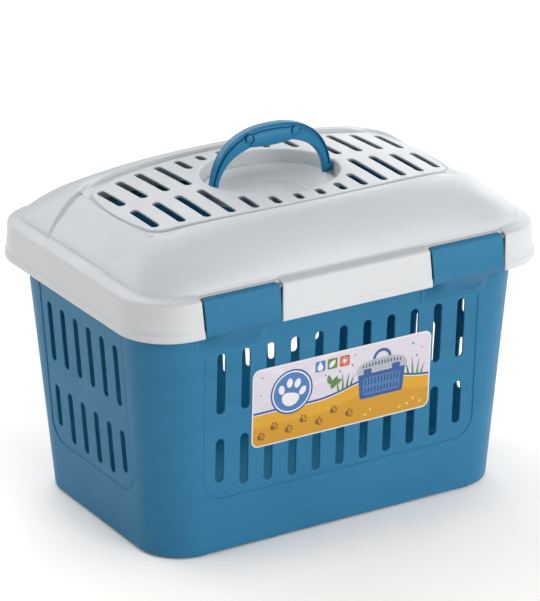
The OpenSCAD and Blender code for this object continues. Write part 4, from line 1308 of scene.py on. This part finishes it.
def make_label():
    net = Net()
    W, Hh, R = 176.5, 72.0, 7.0
    lean = math.atan(0.059)
    cl, sl_ = math.cos(lean), math.sin(lean)

    def place(p, d):
        """p in the label's own plane, d above its back face."""
        out = []
        for u, v in p:
            y, z = -(d - 0.42), v + 126.5
            out.append((u, -110.6 + y * cl - z * sl_, z * cl + y * sl_))
        return np.array(out)

    def rrect(off, n=9):
        return soft_box(0, 0, W / 2 + off, Hh / 2 + off, R + off, n)

    lv = [(-0.12, 0.0), (0.0, 0.1), (0.0, 0.45), (-0.08, 0.56), (-0.25, 0.6)]
    rings = [place(rrect(o), d) for o, d in lv]
    net.rings(rings)
    q = rrect(-0.12)
    pts, t = cdt([q])
    net.tris(net.put(place(pts, 0.0)), t)
    # printed face: every ink's outline is an edge of the mesh
    edge = rrect(-0.25)
    frame, art = artwork()
    keep = [(ink, o) for ink, o in art]
    allp, edges, k = [], [], 0
    for o in [edge, frame] + [o for _, o in keep]:
        n = len(o)
        edges += [(k + i, k + (i + 1) % n) for i in range(n)]
        allp.append(np.asarray(o, float))
        k += n
    raw = np.vstack(allp)
    # outlines that leave the frame are led along it, so that nothing crosses the card's edge
    lim = np.array([W / 2 - 0.25 - 0.35, Hh / 2 - 0.25 - 0.35])
    n0 = len(edge)
    rest = raw[n0:]
    rest[:] = np.clip(rest, -lim, lim)
    for cx, cy in ((1, 1), (-1, 1), (-1, -1), (1, -1)):
        c = np.array([cx * (W / 2 - R), cy * (Hh / 2 - R)])
        d = rest - c
        far = np.linalg.norm(d, axis=1)
        hit = (d[:, 0] * cx > 0) & (d[:, 1] * cy > 0) & (far > R - 0.6)
        rest[hit] = c + d[hit] / far[hit, None] * (R - 0.6)
    out = delaunay_2d_cdt([Vector((float(x), float(y))) for x, y in raw], edges, [], 0, 1e-6, False)
    P = np.array([(v[0], v[1]) for v in out[0]])
    T = [f for f in out[2] if len(f) == 3]
    C = np.array([P[list(f)].mean(0) for f in T])
    ok = inside(edge, C)
    T = [f for f, g in zip(T, ok) if g]
    net.tris(net.put(place(P, 0.6)), T)
    ob = net.build("front_label_card", sharp=30, weld=0.0015)
    names = list(INKS)
    for nm in names:
        ob.data.materials.append(printed("ink_" + nm, *INKS[nm]))
    me = ob.data
    cen = np.zeros(len(me.polygons) * 3)
    me.polygons.foreach_get("center", cen)
    cen = cen.reshape(-1, 3) / MM
    nor = np.zeros(len(me.polygons) * 3)
    me.polygons.foreach_get("normal", nor)
    nor = nor.reshape(-1, 3)
    v = (cen[:, 2] - (-0.18) * sl_) / cl - 126.5
    uv = np.column_stack([cen[:, 0], v])
    idx = np.zeros(len(uv), int)
    front = (nor[:, 1] < -0.9) & (np.abs(cen[:, 1] - place([(0, 0)], 0.6)[0, 1] + (cen[:, 2] - place([(0, 0)], 0.6)[0, 2]) * math.tan(lean)) < 0.02)
    idx[front & inside(frame, uv)] = names.index("lav")
    field_ = front & inside(frame, uv)
    for ink, o in keep:
        idx[field_ & inside(o, uv)] = names.index(ink)
    me.polygons.foreach_set("material_index", idx.astype(np.int32))
    me.update()
    return ob


# ------------------------------------------------------------------ assembly
tub = make_tub()
# painted light: faces on the inside of the tub take the paler blue that stands in for light reaching the inside
tub.data.materials.append(BLUE_IN_PAINTED_LIGHT)
for f in tub.data.polygons:
    c = f.center / MM
    hx, hy = thx(c.z) - abs(c.x), thy(c.z) - abs(c.y)
    deep = min(hx, hy) if hx > CR or hy > CR else CR - math.hypot(CR - hx, CR - hy)
    if 3.8 < c.z < 236 and deep > WALL - 0.3:
        f.material_index = 1
lid = make_lid()
handle = make_handle()
label = make_label()
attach(tub, "tub"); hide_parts("tub")
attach(lid, "lid"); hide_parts("lid")
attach(handle, "handle"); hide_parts("carry_handle")
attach(label, "tub"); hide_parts("front_label")
for nm, body, sx, sy in (("front_clip_left", "clip_front_left", -1, -1), ("front_clip_right", "clip_front_right", 1, -1),
                         ("rear_clip_left", "clip_rear_left", -1, 1), ("rear_clip_right", "clip_rear_right", 1, 1)):
    c = make_clip(nm + "_tongue", sx, sy)
    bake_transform(c)
    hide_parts(nm)

# ------------------------------------------------------------------ stage, light and camera
fl = Net()
ids = fl.put([(-9000, -9000, 0), (9000, -9000, 0), (9000, 9000, 0), (-9000, 9000, 0)])
fl.faces.append(tuple(int(i) for i in ids))
me = bpy.data.meshes.new("floor")
me.from_pydata((fl.points() * MM).tolist(), [], fl.faces)
floor = bpy.data.objects.new("floor", me)
bpy.context.scene.collection.objects.link(floor)
FM, nt, bs = nodes_of("studio_floor")
bs.inputs["Base Color"].default_value = (0.965, 0.935, 0.905, 1)
bs.inputs["Roughness"].default_value = 0.9
bs.inputs["Specular IOR Level"].default_value = 0.1
floor.data.materials.append(FM)

sc = bpy.context.scene
sc.view_settings.view_transform = "Standard"
sc.view_settings.look = "None"
world = bpy.data.worlds.new("studio")
sc.world = world
world.use_nodes = True
bg = world.node_tree.nodes["Background"]
bg.inputs["Color"].default_value = (1.0, 1.0, 1.0, 1)
bg.inputs["Strength"].default_value = 0.02


def area(name, loc, aim, size, power, color=(1, 1, 1), size_y=None):
    ld = bpy.data.lights.new(name, "AREA")
    ld.shape = "RECTANGLE"
    ld.size, ld.size_y = size, size_y or size
    ld.energy = power
    ld.color = color
    ob = bpy.data.objects.new(name, ld)
    ob.location = loc
    ob.rotation_euler = (Vector(aim) - Vector(loc)).to_track_quat("-Z", "Y").to_euler()
    sc.collection.objects.link(ob)
    return ob


def softbox(name, az, el, power, size=1.8, dist=3.0):
    """A large soft light on the sphere round the product; azimuth 0 is the front, 90 the right."""
    a, e = math.radians(az), math.radians(el)
    loc = (dist * math.sin(a) * math.cos(e), -dist * math.cos(a) * math.cos(e), 0.15 + dist * math.sin(e))
    return area(name, loc, (0, 0, 0.15), size, power)


softbox("back_top", 170, 42, 38)
softbox("top", 0, 80, 17)
softbox("front_top", -10, 55, 8)
softbox("left_back", -152, 32, 34)
softbox("left", -110, 22, 41)
softbox("front", 8, 16, 70)
softbox("front_right", 50, 18, 26)
softbox("right", 90, 20, 22)
softbox("right_back", 130, 20, 34)

fill = area("inside_fill", (0.02, 0, 0.10), (0.02, 0, 0), 0.22, 0.03, size_y=0.12)
fill.visible_camera = False

cam_d = bpy.data.cameras.new("camera")
cam = bpy.data.objects.new("camera", cam_d)
sc.collection.objects.link(cam)
az, el, ro = (math.radians(v) for v in (-30.839, 21.498, -0.383))
back = Vector((math.sin(az) * math.cos(el), -math.cos(az) * math.cos(el), math.sin(el)))
right = Vector((math.cos(az), math.sin(az), 0))
up = back.cross(right)
r2 = right * math.cos(ro) + up * math.sin(ro)
u2 = -right * math.sin(ro) + up * math.cos(ro)
loc = Vector((0.963, 0, 166.494)) * MM + back * 3063.817 * MM
cam.matrix_world = Matrix(((r2.x, u2.x, back.x, loc.x), (r2.y, u2.y, back.y, loc.y), (r2.z, u2.z, back.z, loc.z), (0, 0, 0, 1)))
cam_d.sensor_fit = "AUTO"
cam_d.sensor_width = 36.0
cam_d.shift_x = -0.6 / 601
cam_d.lens = 3547.259 / 601 * 36.0
cam_d.clip_start, cam_d.clip_end = 0.05, 60
sc.camera = cam
